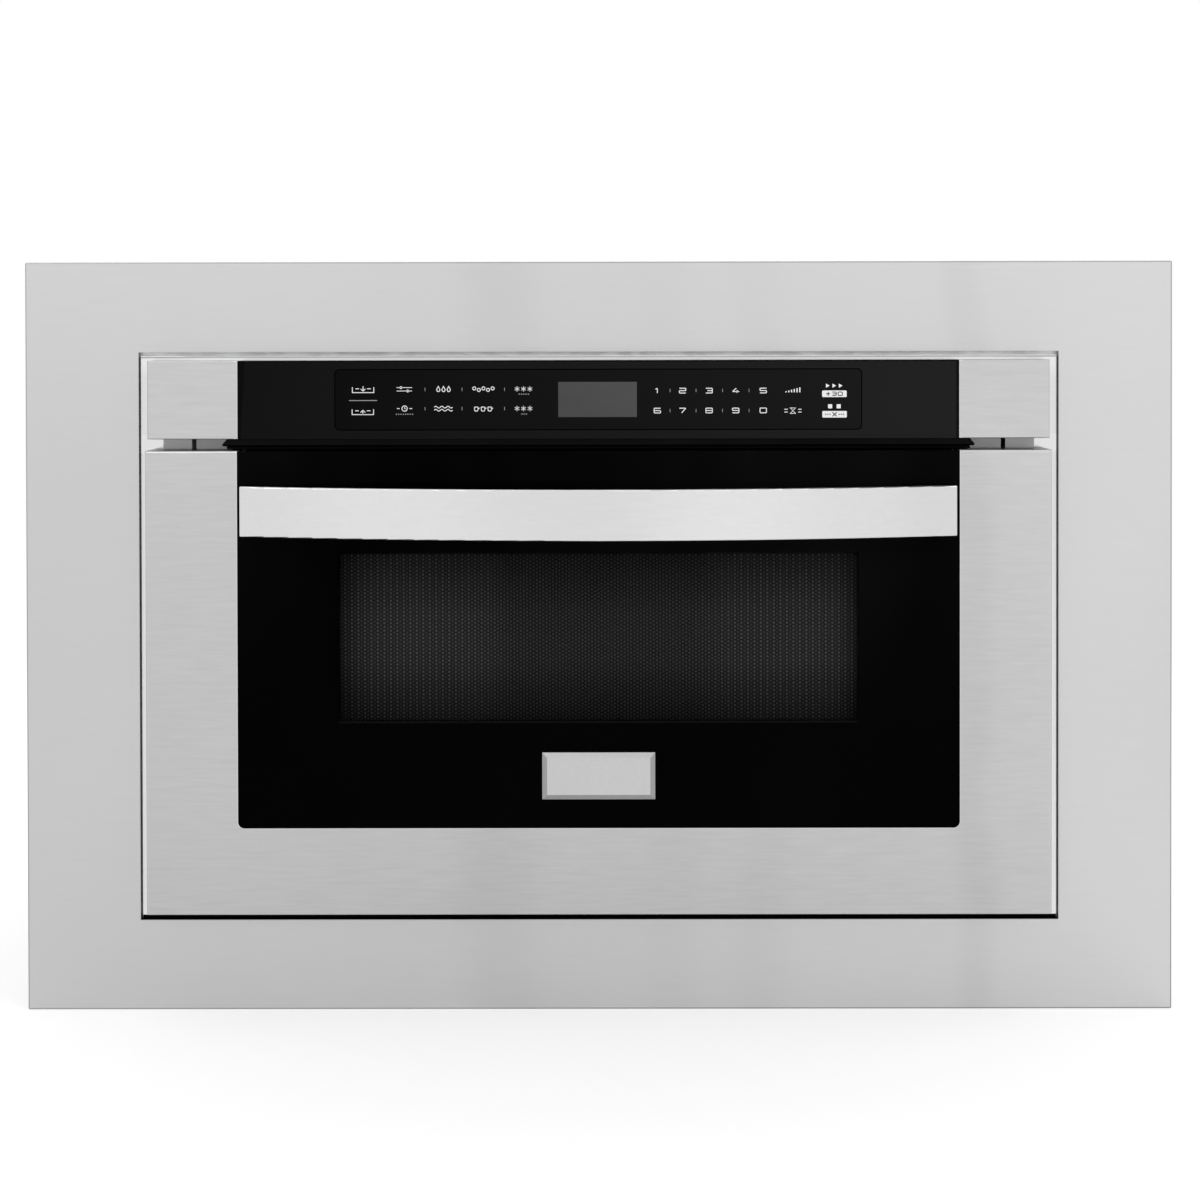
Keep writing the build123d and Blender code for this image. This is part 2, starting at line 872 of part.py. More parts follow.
def make_badge_plate():
    rim_front = door_glass_front - badge_rim
    front = door_glass_front - badge_thickness
    rim = wide(badge_width / 2, rim_front, door_glass_front,
               badge_z - badge_height / 2, badge_z + badge_height / 2)
    return rim + loft([badge_outline(0, rim_front), badge_outline(badge_bevel, front)])


# ---- drawer box, cavity and front plate ----
def make_drawer_box():
    inner_half = box_inner_half
    box = wide(box_half, frame_back, box_back, box_bottom, box_top)
    box -= wide(inner_half, box_interior_front, box_interior_back, tray_bottom, box_top + 1)
    box -= wide(inner_half, frame_back - 1, box_front, tray_bottom, box_top + 1)
    box -= window_block(0, box_front - 1, box_interior_front + 1)
    ledge = box_floor_ledge
    box -= wide(inner_half - ledge, box_interior_front + ledge, box_interior_back - ledge,
                box_bottom - 1, tray_bottom + 1)
    return box


def make_ceramic_tray():
    half = box_inner_half - tray_gap
    front = box_interior_front + tray_gap
    back = box_interior_back - tray_gap
    return wide(half, front, back, tray_bottom, box_floor_z)


def make_cavity_shell():
    outer_back = cavity_back + cavity_sheet
    outer_top = cavity_top + cavity_sheet
    shell = wide(cavity_outer_half, plate_back, outer_back, cavity_underside, outer_top)
    shell -= wide(cavity_half, plate_back - 1, cavity_back, cavity_floor, cavity_top)
    shell -= rod_z(cavity_underside - 1, cavity_floor + 1, 0, antenna_y, coupling_radius)
    for row in (-1, 0, 1):
        for column in (-1, 0, 1):
            y = lamp_y + column * lamp_vent_pitch
            z = lamp_z + row * lamp_vent_pitch
            shell -= rod_x(-cavity_outer_half - 1, -cavity_half + 1, y, z, lamp_vent_radius)
    return shell


def make_cavity_front_plate():
    half = mouth_half - seam_width
    low = mouth_bottom + seam_width
    high = mouth_top - seam_width
    plate = wide(half, flange_front, flange_back, low, high)
    rim = flange_sheet
    plate -= wide(half - rim, plate_back, 1, low + rim, high - rim)
    plate -= wide(cavity_half, flange_front - 1, 1, cavity_floor, cavity_top)
    tabs = []
    reach = seam_width + 3 * flange_sheet
    for level in (-1, 0, 1):
        z = level * tab_pitch_z
        tab = block(half - 2 * rim, half + reach, flange_back, 0, z - tab_width / 2, z + tab_width / 2)
        tabs += [tab, other_side(tab)]
    for x in (-tab_x, tab_x):
        x_low = x - tab_width / 2
        x_high = x + tab_width / 2
        tabs.append(block(x_low, x_high, flange_back, 0, high - 2 * rim, high + reach))
        tabs.append(block(x_low, x_high, flange_back, 0, low - reach, low + 2 * rim))
    plate += tabs
    margin = slide_slot_margin
    slot_low = slide_centre_z - slide_outer_half - margin
    slot_high = slide_centre_z + slide_outer_half + margin
    slot = block(slide_inner_x - rack_width - margin, slide_outer_x + margin,
                 flange_front - 1, plate_back + 1, slot_low, slot_high)
    hook_half = hook_thickness / 2 + hook_slot_margin
    hook_rise = hook_height / 2 + 2 * hook_slot_margin
    hook_slot = block(hook_x - hook_half, hook_x + hook_half, flange_front - 1, plate_back + 1,
                      hook_z - hook_rise, hook_z + hook_rise)
    return plate - [slot, other_side(slot), hook_slot, other_side(hook_slot)]


# ---- telescopic slides, for the right side ----
def channel(web_x, tip_x, y_low, y_high, half_height):
    # web_x is the middle of the web's thickness, tip_x where the two flanges end
    web_low = web_x - slide_sheet / 2
    web_high = web_x + slide_sheet / 2
    low = slide_centre_z - half_height
    high = slide_centre_z + half_height
    shape = block(web_low, web_high, y_low, y_high, low, high)
    x_low = min(web_low, tip_x)
    x_high = max(web_high, tip_x)
    shape += block(x_low, x_high, y_low, y_high, high - slide_sheet, high)
    shape += block(x_low, x_high, y_low, y_high, low, low + slide_sheet)
    return shape


def make_slide_outer():
    web_x = slide_outer_x - slide_sheet / 2
    return channel(web_x, slide_inner_x + slide_lip_gap, slide_front, slide_back, slide_outer_half)


def make_slide_middle():
    web_x = slide_outer_x - slide_sheet - slide_gap - slide_sheet / 2
    return channel(web_x, slide_inner_x + slide_lip_gap, slide_front, slide_back, slide_middle_half)


def make_slide_inner():
    web_x = slide_inner_x + slide_sheet / 2
    tip_x = slide_outer_x - 2 * (slide_sheet + slide_gap)
    return channel(web_x, tip_x, frame_back, slide_back, slide_inner_half)


def make_slide_brackets():
    rise = slide_bracket_height / 2
    low = slide_centre_z - rise
    high = slide_centre_z + rise
    sheet = slide_bracket_sheet
    brackets = []
    first = slide_front + slide_bracket_inset
    last = slide_back - slide_bracket_inset - slide_bracket_length
    for y_low in (first, last):
        y_high = y_low + slide_bracket_length
        bracket = block(slide_outer_x, case_inner_half - case_sheet, y_low, y_high, low, high)
        cut = block(slide_outer_x + sheet, case_inner_half, y_low - 1, y_high + 1, low + sheet, high - sheet)
        ear = block(case_inner_half - case_sheet, case_inner_half, y_low, y_high, low, high)
        bracket = bracket + ear - cut
        brackets += [bracket, other_side(bracket)]
    return group(brackets)


def make_slide_front_brackets():
    rise = slide_inner_half - slide_sheet - 1
    low = slide_centre_z - rise
    high = slide_centre_z + rise
    sheet = slide_bracket_sheet
    leg_x = slide_inner_x + slide_sheet
    leg = block(leg_x, leg_x + sheet, frame_back, slide_front - 2, low, high)
    foot_end = leg_x + sheet + slide_foot_reach
    foot = block(leg_x + sheet, foot_end, frame_back, frame_back + sheet, low, high)
    bracket = leg + foot
    return group([bracket, other_side(bracket)])


# ---- rack and pinion drive ----
def make_rack():
    tip = rack_pitch_z - gear_addendum * gear_module
    root = rack_pitch_z + gear_dedendum * gear_module
    slope = math.tan(math.radians(pressure_angle))
    half_pitch_tooth = gear_pitch / 4 - gear_backlash / 2
    half_tip = half_pitch_tooth - slope * (rack_pitch_z - tip)
    half_root = half_pitch_tooth + slope * (root - rack_pitch_z)
    rack_back = max(slide_back - rack_end_inset, shaft_y + drawer_travel + 2 * gear_pitch)
    points = [(rack_front, rack_pitch_z + rack_height), (rack_front, root)]
    first = math.ceil((rack_front + half_root + 0.2 - shaft_y) / gear_pitch)
    last = math.floor((rack_back - half_root - 0.2 - shaft_y) / gear_pitch)
    for step in range(first, last + 1):
        y = shaft_y + step * gear_pitch
        points += [(y - half_root, root), (y - half_tip, tip), (y + half_tip, tip), (y + half_root, root)]
    points += [(rack_back, root), (rack_back, rack_pitch_z + rack_height)]
    face = make_face(Polyline(*points, close=True))
    return extrude(Plane.YZ.offset(slide_inner_x - rack_width) * face, amount=rack_width)


def involute(angle):
    return math.tan(angle) - angle


def make_pinion():
    pitch_radius = pinion_pitch_radius
    base_radius = pitch_radius * math.cos(math.radians(pressure_angle))
    tip_radius = pitch_radius + gear_addendum * gear_module
    root_radius = pitch_radius - gear_dedendum * gear_module
    pitch_half = (gear_pitch / 4 - gear_backlash / 2) / pitch_radius
    flank_radii = [base_radius + (tip_radius - base_radius) * step / 4 for step in range(5)]

    def half_angle(radius):
        roll = math.acos(min(1.0, base_radius / radius))
        return pitch_half + involute(math.radians(pressure_angle)) - involute(roll)

    points = []
    for tooth in range(pinion_teeth):
        # a gap between two teeth points straight up, where the rack's tooth stands at rest
        middle = math.pi / 2 + (tooth + 0.5) * 2 * math.pi / pinion_teeth
        rising = [(root_radius, -half_angle(base_radius))]
        rising += [(radius, -half_angle(radius)) for radius in flank_radii]
        falling = [(radius, -angle) for radius, angle in reversed(rising)]
        for radius, angle in rising + falling:
            points.append((shaft_y + radius * math.cos(middle + angle),
                           shaft_z + radius * math.sin(middle + angle)))
    face = make_face(Polyline(*points, close=True))
    shaft_end = slide_inner_x - shaft_end_gap
    gear = extrude(Plane.YZ.offset(shaft_end - pinion_width) * face, amount=pinion_width)
    hub_end = shaft_end - pinion_width
    gear += rod_x(hub_end - pinion_hub_length, hub_end, shaft_y, shaft_z, pinion_hub_radius)
    bore_end = hub_end - pinion_hub_length - 1
    return gear - rod_x(bore_end, shaft_end + 1, shaft_y, shaft_z, shaft_radius + pinion_bore_gap)


def make_drive_pinions():
    pinion = make_pinion()
    return group([pinion, other_side(pinion)])


def make_drive_shaft():
    shaft_end = slide_inner_x - shaft_end_gap
    return rod_x(-shaft_end, shaft_end, shaft_y, shaft_z, shaft_radius)


def shaft_bore():
    reach = slide_inner_x
    return rod_x(-reach, reach, shaft_y, shaft_z, shaft_radius + shaft_running_gap)


def make_shaft_bearings():
    x_low = slide_inner_x - bearing_inset - bearing_width
    half = bearing_depth / 2
    top = shaft_z + half
    block_shape = block(x_low, x_low + bearing_width, shaft_y - half, shaft_y + half, case_floor, top)
    foot_top = case_floor + bearing_foot
    block_shape += block(x_low, x_low + bearing_width, shaft_y - 2 * half, shaft_y + 2 * half,
                         case_floor, foot_top)
    block_shape -= shaft_bore()
    return group([block_shape, other_side(block_shape)])


def make_drive_motor():
    half = gearbox_width / 2
    front = shaft_y - gearbox_depth / 2
    back = shaft_y + gearbox_depth / 2
    low = shaft_z - gearbox_drop
    high = shaft_z + gearbox_rise
    sheet = gearbox_foot_sheet
    motor = block(gearbox_x - half, gearbox_x + half, front, back, low, high)
    motor += rod_y(back, back + drive_motor_length, gearbox_x, shaft_z, drive_motor_radius)
    motor += block(gearbox_x - half, gearbox_x - half + sheet, front, back, case_floor, low)
    motor += block(gearbox_x + half - sheet, gearbox_x + half, front, back, case_floor, low)
    motor += block(gearbox_x - half, gearbox_x + half, front, back, case_floor, case_floor + sheet)
    return motor - shaft_bore()


# ---- interlock ----
def make_latch_hooks():
    half = hook_thickness / 2
    rise = hook_height / 2
    tip = hook_reach
    hook = block(hook_x - half, hook_x + half, frame_back, tip, hook_z - rise, hook_z + rise)
    hook += block(hook_x - half, hook_x + half, tip - hook_barb_length, tip,
                  hook_z + rise, hook_z + rise + hook_barb_height)
    foot = block(hook_x - 3 * half, hook_x + 3 * half, frame_back, frame_back + hook_foot_sheet,
                 hook_z - 2 * rise, hook_z + 2 * rise)
    hook += foot
    return group([hook, other_side(hook)])


def make_interlock_lever():
    half = lever_thickness / 2
    back = lever_front + lever_depth
    eye = lever_pin_radius + lever_eye_wall
    arm = block(hook_x - half, hook_x + half, lever_front, back, hook_z - hook_height, lever_pivot_z)
    arm += rod_x(hook_x - half, hook_x + half, lever_pivot_y, lever_pivot_z, eye)
    bore = lever_pin_radius + shaft_running_gap
    return arm - rod_x(hook_x - half - 1, hook_x + half + 1, lever_pivot_y, lever_pivot_z, bore)


def make_interlock_switches():
    wall_x = cavity_outer_half
    face_x = wall_x + switch_plate_sheet
    body_front = lever_front + lever_depth + switch_stroke_gap + switch_button
    body_back = body_front + switch_length
    plate_low = hook_z - switch_height + switch_plate_sheet
    plate_high = lever_pivot_z + 2 * switch_plate_margin
    plate = block(wall_x, face_x, lever_front, body_back + switch_plate_margin, plate_low, plate_high)
    for step in (-0.5, 0.5):
        z = hook_z + step * (switch_height + switch_gap)
        low = z - switch_height / 2
        high = z + switch_height / 2
        half = lever_thickness / 2
        plate += block(face_x, hook_x + half, body_front, body_back, low, high)
        plate += block(hook_x - half, hook_x + half, body_front - switch_button, body_front, z - half, z + half)
    left = other_side(plate)
    pin_end = hook_x + lever_thickness
    plate += rod_x(face_x, pin_end, lever_pivot_y, lever_pivot_z, lever_pin_radius)
    return group([plate, left])


# ---- microwave feed ----
def make_waveguide():
    half = waveguide_width / 2
    wall = waveguide_wall
    guide = wide(half, waveguide_front, waveguide_back, waveguide_bottom, cavity_underside)
    guide -= wide(half - wall, waveguide_front + wall, waveguide_back - wall,
                  waveguide_bottom + wall, cavity_underside - wall)
    guide -= rod_z(cavity_underside - 2 * wall, cavity_underside + 1, 0, antenna_y, coupling_radius)
    guide -= rod_z(cavity_underside - 2 * wall, cavity_underside + 1, 0, magnetron_y, magnetron_port_radius)
    return guide - rod_z(waveguide_bottom - 1, waveguide_bottom + 2 * wall, 0, antenna_y,
                         antenna_shaft_radius + 1)


def make_stirrer_antenna():
    low = cavity_floor + antenna_lift
    disc = rod_z(low, low + antenna_sheet, 0, antenna_y, antenna_radius)
    over = low + antenna_sheet + 1
    half = antenna_slot_width / 2
    slot_end = antenna_radius - antenna_slot_inset
    disc -= block(antenna_slot_inset, slot_end, antenna_y - half, antenna_y + half, low - 1, over)
    half = antenna_notch_width / 2
    notch_start = antenna_y + antenna_notch_inset
    disc -= block(-half, half, notch_start, antenna_y + antenna_radius, low - 1, over)
    shaft_low = waveguide_bottom - antenna_shaft_length
    return disc + rod_z(shaft_low, low, 0, antenna_y, antenna_shaft_radius)


def make_antenna_motor():
    half = antenna_motor_size / 2
    low = waveguide_bottom - antenna_motor_height
    motor = wide(half, antenna_y - half, antenna_y + half, low, waveguide_bottom)
    bore = antenna_shaft_radius + shaft_running_gap
    bore_low = waveguide_bottom - antenna_shaft_length
    return motor - rod_z(bore_low, waveguide_bottom + 1, 0, antenna_y, bore)


def make_magnetron():
    half_x = magnetron_width / 2
    half_y = magnetron_depth / 2
    low = cavity_underside
    high = low + magnetron_height
    sheet = magnetron_sheet
    y_low = magnetron_y - half_y
    y_high = magnetron_y + half_y
    body = wide(half_x, y_low, y_high, low, low + sheet)
    body += wide(half_x, y_low, y_high, high - sheet, high)
    side = block(half_x - sheet, half_x, y_low, y_high, low, high)
    body += [side, other_side(side)]
    body += rod_z(low, high, 0, magnetron_y, magnetron_core_radius)
    for fin in range(magnetron_fins):
        z = low + magnetron_height * (fin + 1) / (magnetron_fins + 1)
        fin_front = y_low + magnetron_fin_inset
        fin_back = y_high - magnetron_fin_inset
        body += wide(half_x - sheet / 2, fin_front, fin_back, z, z + magnetron_fin_sheet)
    body += rod_z(low - magnetron_dome_length, low, 0, magnetron_y, magnetron_dome_radius)
    box_low = y_low + filter_box_inset
    box_high = y_high - filter_box_inset
    return body + wide(filter_box_width / 2, box_low, box_high, high, high + filter_box_height)


# ---- supply parts ----
def centred(x, half_x, half_y, z_low, z_high):
    return block(x - half_x, x + half_x, supply_y - half_y, supply_y + half_y, z_low, z_high)


def make_power_transformer():
    foot_top = case_floor + transformer_foot_sheet
    coil_low = foot_top + transformer_coil_rise
    coil_high = coil_low + transformer_coil_height
    foot = centred(transformer_x, transformer_foot_width / 2, transformer_foot_depth / 2,
                   case_floor, foot_top)
    core = centred(transformer_x, transformer_core_width / 2, transformer_core_depth / 2,
                   foot_top, foot_top + transformer_core_height)
    coil = centred(transformer_x, transformer_coil_width / 2, transformer_coil_depth / 2,
                   coil_low, coil_high)
    coil = fillet(coil.edges().filter_by(Axis.X), transformer_coil_radius)
    return foot + core + coil


def make_hv_capacitor():
    top = case_floor + capacitor_height
    can = centred(capacitor_x, capacitor_width / 2, capacitor_length / 2, case_floor, top)
    can = fillet(can.edges().filter_by(Axis.Z), capacitor_radius)
    half = capacitor_tab_width / 2
    rise = capacitor_tab_sheet / 2
    for side in (-1, 1):
        y = supply_y + side * capacitor_tab_pitch / 2
        can += block(capacitor_x - half, capacitor_x + half, y - rise, y + rise,
                     top, top + capacitor_tab_height)
    return can


def make_filter_board():
    front_x = case_inner_half - filter_board_standoff
    board_x = front_x - board_thickness
    half = filter_board_length / 2
    rise = filter_board_height / 2
    z = filter_board_z
    board = block(board_x, front_x, supply_y - half, supply_y + half, z - rise, z + rise)
    for side_y in (-1, 1):
        for side_z in (-1, 1):
            post_y = supply_y + side_y * (half - filter_standoff_inset)
            post_z = z + side_z * (rise - filter_standoff_inset)
            board += rod_x(front_x, case_inner_half, post_y, post_z, filter_standoff_radius)
    coil = filter_coil_size / 2
    coil_y = supply_y - filter_coil_offset
    coil_z = z + filter_coil_offset - filter_coil_size / 6
    board += block(board_x - filter_coil_depth, board_x, coil_y - coil, coil_y + coil,
                   coil_z - coil, coil_z + coil)
    cap = filter_cap_size / 2
    cap_y = supply_y + filter_cap_offset
    cap_z = z - filter_cap_offset
    board += block(board_x - filter_cap_depth, board_x, cap_y - cap, cap_y + cap,
                   cap_z - cap, cap_z + cap)
    return board


def make_power_gland():
    back = case_depth + gland_proud
    front = rear_inner - gland_inner_reach
    gland = rod_y(front, back, gland_x, gland_z, gland_radius)
    gland += rod_y(case_depth, case_depth + gland_flange_sheet, gland_x, gland_z, gland_flange_radius)
    gland += rod_y(rear_inner - gland_nut_thickness, rear_inner, gland_x, gland_z, gland_flange_radius)
    return gland - rod_y(front - 1, back + 1, gland_x, gland_z, gland_bore_radius)


# ---- cooling ----
def make_fan_shroud():
    half = fan_shroud_size / 2
    front = rear_inner - fan_shroud_depth
    shroud = block(fan_x - half, fan_x + half, front, rear_inner, fan_z - half, fan_z + half)
    return shroud - rod_y(front - 1, rear_inner + 1, fan_x, fan_z, fan_bore_radius)


def make_fan_motor():
    shroud_front = rear_inner - fan_shroud_depth
    arm_low = shroud_front - fan_arm_depth
    reach = fan_bore_radius + fan_arm_overlap
    half = fan_arm_width / 2
    motor = rod_y(shroud_front - fan_motor_length, shroud_front, fan_x, fan_z, fan_motor_radius)
    motor += block(fan_x - reach, fan_x + reach, arm_low, shroud_front, fan_z - half, fan_z + half)
    motor += block(fan_x - half, fan_x + half, arm_low, shroud_front, fan_z - reach, fan_z + reach)
    bore = fan_shaft_radius + shaft_running_gap
    bore_low = shroud_front - fan_shaft_length - 1
    return motor - rod_y(bore_low, shroud_front + 1, fan_x, fan_z, bore)


def make_cooling_fan():
    shroud_front = rear_inner - fan_shroud_depth
    hub_low = shroud_front + fan_hub_setback
    hub_high = hub_low + fan_hub_length
    hub_middle = (hub_low + hub_high) / 2
    fan = rod_y(hub_low, hub_high, fan_x, fan_z, fan_hub_radius)
    fan += rod_y(shroud_front - fan_shaft_length, hub_low, fan_x, fan_z, fan_shaft_radius)
    root = fan_hub_radius - fan_blade_root
    length = fan_bore_radius - fan_tip_gap - root
    blade = Box(fan_blade_width, fan_blade_sheet, length)
    blade = Pos(0, 0, root + length / 2) * Rot(0, 0, fan_blade_pitch) * blade
    for step in range(fan_blades):
        turn = Pos(fan_x, hub_middle, fan_z) * Rot(0, step * 360 / fan_blades, 0)
        fan += turn * blade
    return fan


# ---- lamp and wiring ----
def make_oven_lamp():
    wall_x = -cavity_outer_half
    plate_x = wall_x - lamp_plate_sheet
    axis_x = wall_x - lamp_axis_gap
    half = lamp_plate_size / 2
    y_back = lamp_y + half
    bracket_front = y_back - lamp_bracket_sheet
    rise = lamp_bracket_height / 2
    holder = block(plate_x, wall_x, lamp_y - half, y_back, lamp_z - half, lamp_z + half)
    holder -= rod_x(plate_x - 1, wall_x + 1, lamp_y, lamp_z, lamp_hole_radius)
    holder += block(wall_x - lamp_bracket_reach, plate_x, bracket_front, y_back, lamp_z - rise, lamp_z + rise)
    holder += rod_y(lamp_y + lamp_cap_front, bracket_front, axis_x, lamp_z, lamp_cap_radius)
    return holder + Pos(axis_x, lamp_y - lamp_bulb_offset, lamp_z) * Sphere(lamp_bulb_radius)


def loom_path():
    middle_z = (cavity_top + case_ceiling) / 2
    run_z = middle_z - loom_top_gap
    bay_y = cavity_back + loom_bay_gap
    end_z = cavity_underside + magnetron_height + filter_box_height
    points = [
        (loom_x, board_back(), panel_mid_z),
        (loom_x, loom_front_y, panel_mid_z),
        (loom_x, loom_crossing_y, run_z),
        (loom_x, bay_y - loom_bay_turn, run_z),
        (0, bay_y, middle_z - loom_mid_drop),
        (0, magnetron_y, middle_z - loom_end_drop),
        (0, magnetron_y, end_z),
    ]
    return FilletPolyline(*points, radius=[loom_bend] * 5)


def make_wiring_loom():
    path = loom_path()
    section = Plane(path @ 0, z_dir=path % 0) * Circle(loom_radius)
    return sweep(section, path=path)


def build_parts():
    corner = make_corner_panel()
    outer = make_slide_outer()
    middle = make_slide_middle()
    inner = make_slide_inner()
    front_bracket = make_slide_front_brackets()
    rack = make_rack()
    handle = make_handle_bar()
    parts["trim_frame"] = make_trim_frame()
    parts["trim_backing_plates"] = make_backing_plates()
    parts["front_flange"] = make_front_flange()
    parts["base_pan"] = make_base_pan()
    parts["case_cover"] = make_case_cover()
    parts["rear_panel"] = make_rear_panel()
    parts["case_screws"] = make_case_screws()
    parts["corner_panel_right"] = corner
    parts["corner_panel_left"] = other_side(corner)
    parts["control_housing"] = make_control_housing()
    parts["control_glass"] = make_control_glass()
    parts["touch_membrane"] = make_touch_membrane()
    parts["display_window"] = make_display_window()
    parts["display_module"] = make_display_module()
    parts["control_board"] = make_control_board()
    parts["vent_visor"] = make_vent_visor()
    parts["drawer_front_panel"] = make_drawer_front_panel()
    parts["door_glass"] = make_door_glass()
    parts["door_inner_frame"] = make_door_inner_frame()
    parts["window_screen"] = make_window_screen()
    parts["inner_window"] = make_inner_window()
    parts["choke_frame"] = make_choke_frame()
    parts["choke_cover"] = make_choke_cover()
    parts["handle_bar"] = handle
    parts["handle_posts"] = make_handle_posts(handle)
    parts["handle_screws"] = make_handle_screws()
    parts["badge_plate"] = make_badge_plate()
    parts["drawer_box"] = make_drawer_box()
    parts["ceramic_tray"] = make_ceramic_tray()
    parts["cavity_shell"] = make_cavity_shell()
    parts["cavity_front_plate"] = make_cavity_front_plate()
    parts["slide_outer_right"] = outer
    parts["slide_outer_left"] = other_side(outer)
    parts["slide_middle_right"] = middle
    parts["slide_middle_left"] = other_side(middle)
    parts["slide_inner_right"] = inner
    parts["slide_inner_left"] = other_side(inner)
    parts["slide_brackets"] = make_slide_brackets()
    parts["slide_front_brackets"] = front_bracket
    parts["drive_racks"] = group([rack, other_side(rack)])
    parts["drive_pinions"] = make_drive_pinions()
    parts["drive_shaft"] = make_drive_shaft()
    parts["shaft_bearings"] = make_shaft_bearings()
    parts["drive_motor"] = make_drive_motor()
    parts["latch_hooks"] = make_latch_hooks()
    parts["interlock_lever"] = make_interlock_lever()
    parts["interlock_switches"] = make_interlock_switches()
    parts["waveguide"] = make_waveguide()
    parts["stirrer_antenna"] = make_stirrer_antenna()
    parts["antenna_motor"] = make_antenna_motor()
    parts["magnetron"] = make_magnetron()
    parts["power_transformer"] = make_power_transformer()
    parts["hv_capacitor"] = make_hv_capacitor()
    parts["filter_board"] = make_filter_board()
    parts["power_gland"] = make_power_gland()
    parts["fan_shroud"] = make_fan_shroud()
    parts["fan_motor"] = make_fan_motor()
    parts["cooling_fan"] = make_cooling_fan()
    parts["oven_lamp"] = make_oven_lamp()
    parts["wiring_loom"] = make_wiring_loom()


build_parts()
os.makedirs("parts", exist_ok=True)
for name, shape in parts.items():
    export_step(shape, f"parts/{name}.step")
    print(f"{name}: {len(shape.solids())} solids, {shape.volume:.0f} mm3")
print(f"{len(parts)} nodes, pinion turns {math.degrees(drawer_travel / pinion_pitch_radius):.1f} degrees")
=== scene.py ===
import json
import math

import bmesh
import bpy
from mathutils import Matrix, Vector


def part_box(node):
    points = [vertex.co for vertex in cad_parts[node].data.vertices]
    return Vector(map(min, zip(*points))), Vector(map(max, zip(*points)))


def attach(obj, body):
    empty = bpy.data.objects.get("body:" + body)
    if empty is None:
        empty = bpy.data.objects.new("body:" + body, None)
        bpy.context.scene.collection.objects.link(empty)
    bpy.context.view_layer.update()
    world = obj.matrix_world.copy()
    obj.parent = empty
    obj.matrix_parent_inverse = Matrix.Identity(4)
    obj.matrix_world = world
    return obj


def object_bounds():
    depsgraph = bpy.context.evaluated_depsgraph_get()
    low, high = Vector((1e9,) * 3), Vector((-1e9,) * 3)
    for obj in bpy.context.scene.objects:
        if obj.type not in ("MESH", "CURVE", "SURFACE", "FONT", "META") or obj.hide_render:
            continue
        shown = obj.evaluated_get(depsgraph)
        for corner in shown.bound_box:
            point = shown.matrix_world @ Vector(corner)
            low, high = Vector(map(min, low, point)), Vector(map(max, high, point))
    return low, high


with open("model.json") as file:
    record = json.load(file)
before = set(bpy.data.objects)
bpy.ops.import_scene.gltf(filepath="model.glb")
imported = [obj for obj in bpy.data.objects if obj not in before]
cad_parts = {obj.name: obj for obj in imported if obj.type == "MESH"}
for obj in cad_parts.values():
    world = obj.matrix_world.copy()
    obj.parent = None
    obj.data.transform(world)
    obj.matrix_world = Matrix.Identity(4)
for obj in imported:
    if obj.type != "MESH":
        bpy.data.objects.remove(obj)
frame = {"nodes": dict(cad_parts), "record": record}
nodes = frame["nodes"]
cadBox = [list(corner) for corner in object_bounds()]
print("packed model loaded:", len(nodes), "nodes")


# helpers for node trees
def addNode(tree, kind, values=None, **settings):
    node = tree.nodes.new(kind)
    for key, value in settings.items():
        setattr(node, key, value)
    for key, value in (values or {}).items():
        if hasattr(value, "links"):
            tree.links.new(value, node.inputs[key])
        else:
            node.inputs[key].default_value = value
    return node


def resultOf(tree, kind, values=None, **settings):
    return addNode(tree, kind, values, **settings).outputs[0]


def tinted(colour):
    if isinstance(colour, (int, float)):
        colour = (colour, colour, colour)
    return (*colour, 1.0)


def calc(tree, operation, *values, clamp=False):
    values = dict(enumerate(values))
    return resultOf(tree, "ShaderNodeMath", values, operation=operation, use_clamp=clamp)


def times(tree, first, *others):
    for value in others:
        first = calc(tree, "MULTIPLY", first, value)
    return first


def distance(tree, value, centre=0.0):
    if centre:
        value = calc(tree, "SUBTRACT", value, centre)
    return calc(tree, "ABSOLUTE", value)


def spread(tree, value, low, high, fromLow=0.0, fromHigh=1.0, curve="LINEAR"):
    # low at fromLow, high at fromHigh, and no further
    values = {0: value, 1: fromLow, 2: fromHigh, 3: low, 4: high}
    return resultOf(tree, "ShaderNodeMapRange", values, interpolation_type=curve)


def swung(tree, noise, swing, tone):
    # a tone that a noise of 0 to 1 swings both ways
    return calc(tree, "MULTIPLY_ADD", calc(tree, "SUBTRACT", noise, 0.5), swing, tone)


def mixed(tree, share, first, second, mode="MIX"):
    first, second = (value if hasattr(value, "links") else tinted(value) for value in (first, second))
    values = {0: share, 6: first, 7: second}
    return addNode(tree, "ShaderNodeMix", values, data_type="RGBA", blend_type=mode).outputs[2]


def shaded(tree, share, look):
    return mixed(tree, share, look["dark"], look["light"])


def grey(tree, tone):
    return resultOf(tree, "ShaderNodeCombineColor", {0: tone, 1: tone, 2: tone})


def patternSpace(tree, scale=1.0, centre=(0, 0, 0), turn=(0, 0, 0)):
    if isinstance(scale, (int, float)):
        scale = (scale, scale, scale)
    coordinates = addNode(tree, "ShaderNodeTexCoord").outputs["Object"]
    shift = [-c * s for c, s in zip(centre, scale)]
    values = {"Vector": coordinates, "Location": shift, "Rotation": turn, "Scale": scale}
    return resultOf(tree, "ShaderNodeMapping", values)


def placeOn(tree):
    return addNode(tree, "ShaderNodeSeparateXYZ", {0: patternSpace(tree)}).outputs[:3]


def facingOf(tree):
    normal = addNode(tree, "ShaderNodeNewGeometry").outputs["True Normal"]
    return addNode(tree, "ShaderNodeSeparateXYZ", {0: normal}).outputs[:3]


def noiseOn(tree, scale, detail=2.0, rough=0.5):
    values = {"Vector": patternSpace(tree, scale), "Scale": 1.0, "Detail": detail, "Roughness": rough}
    return resultOf(tree, "ShaderNodeTexNoise", values)


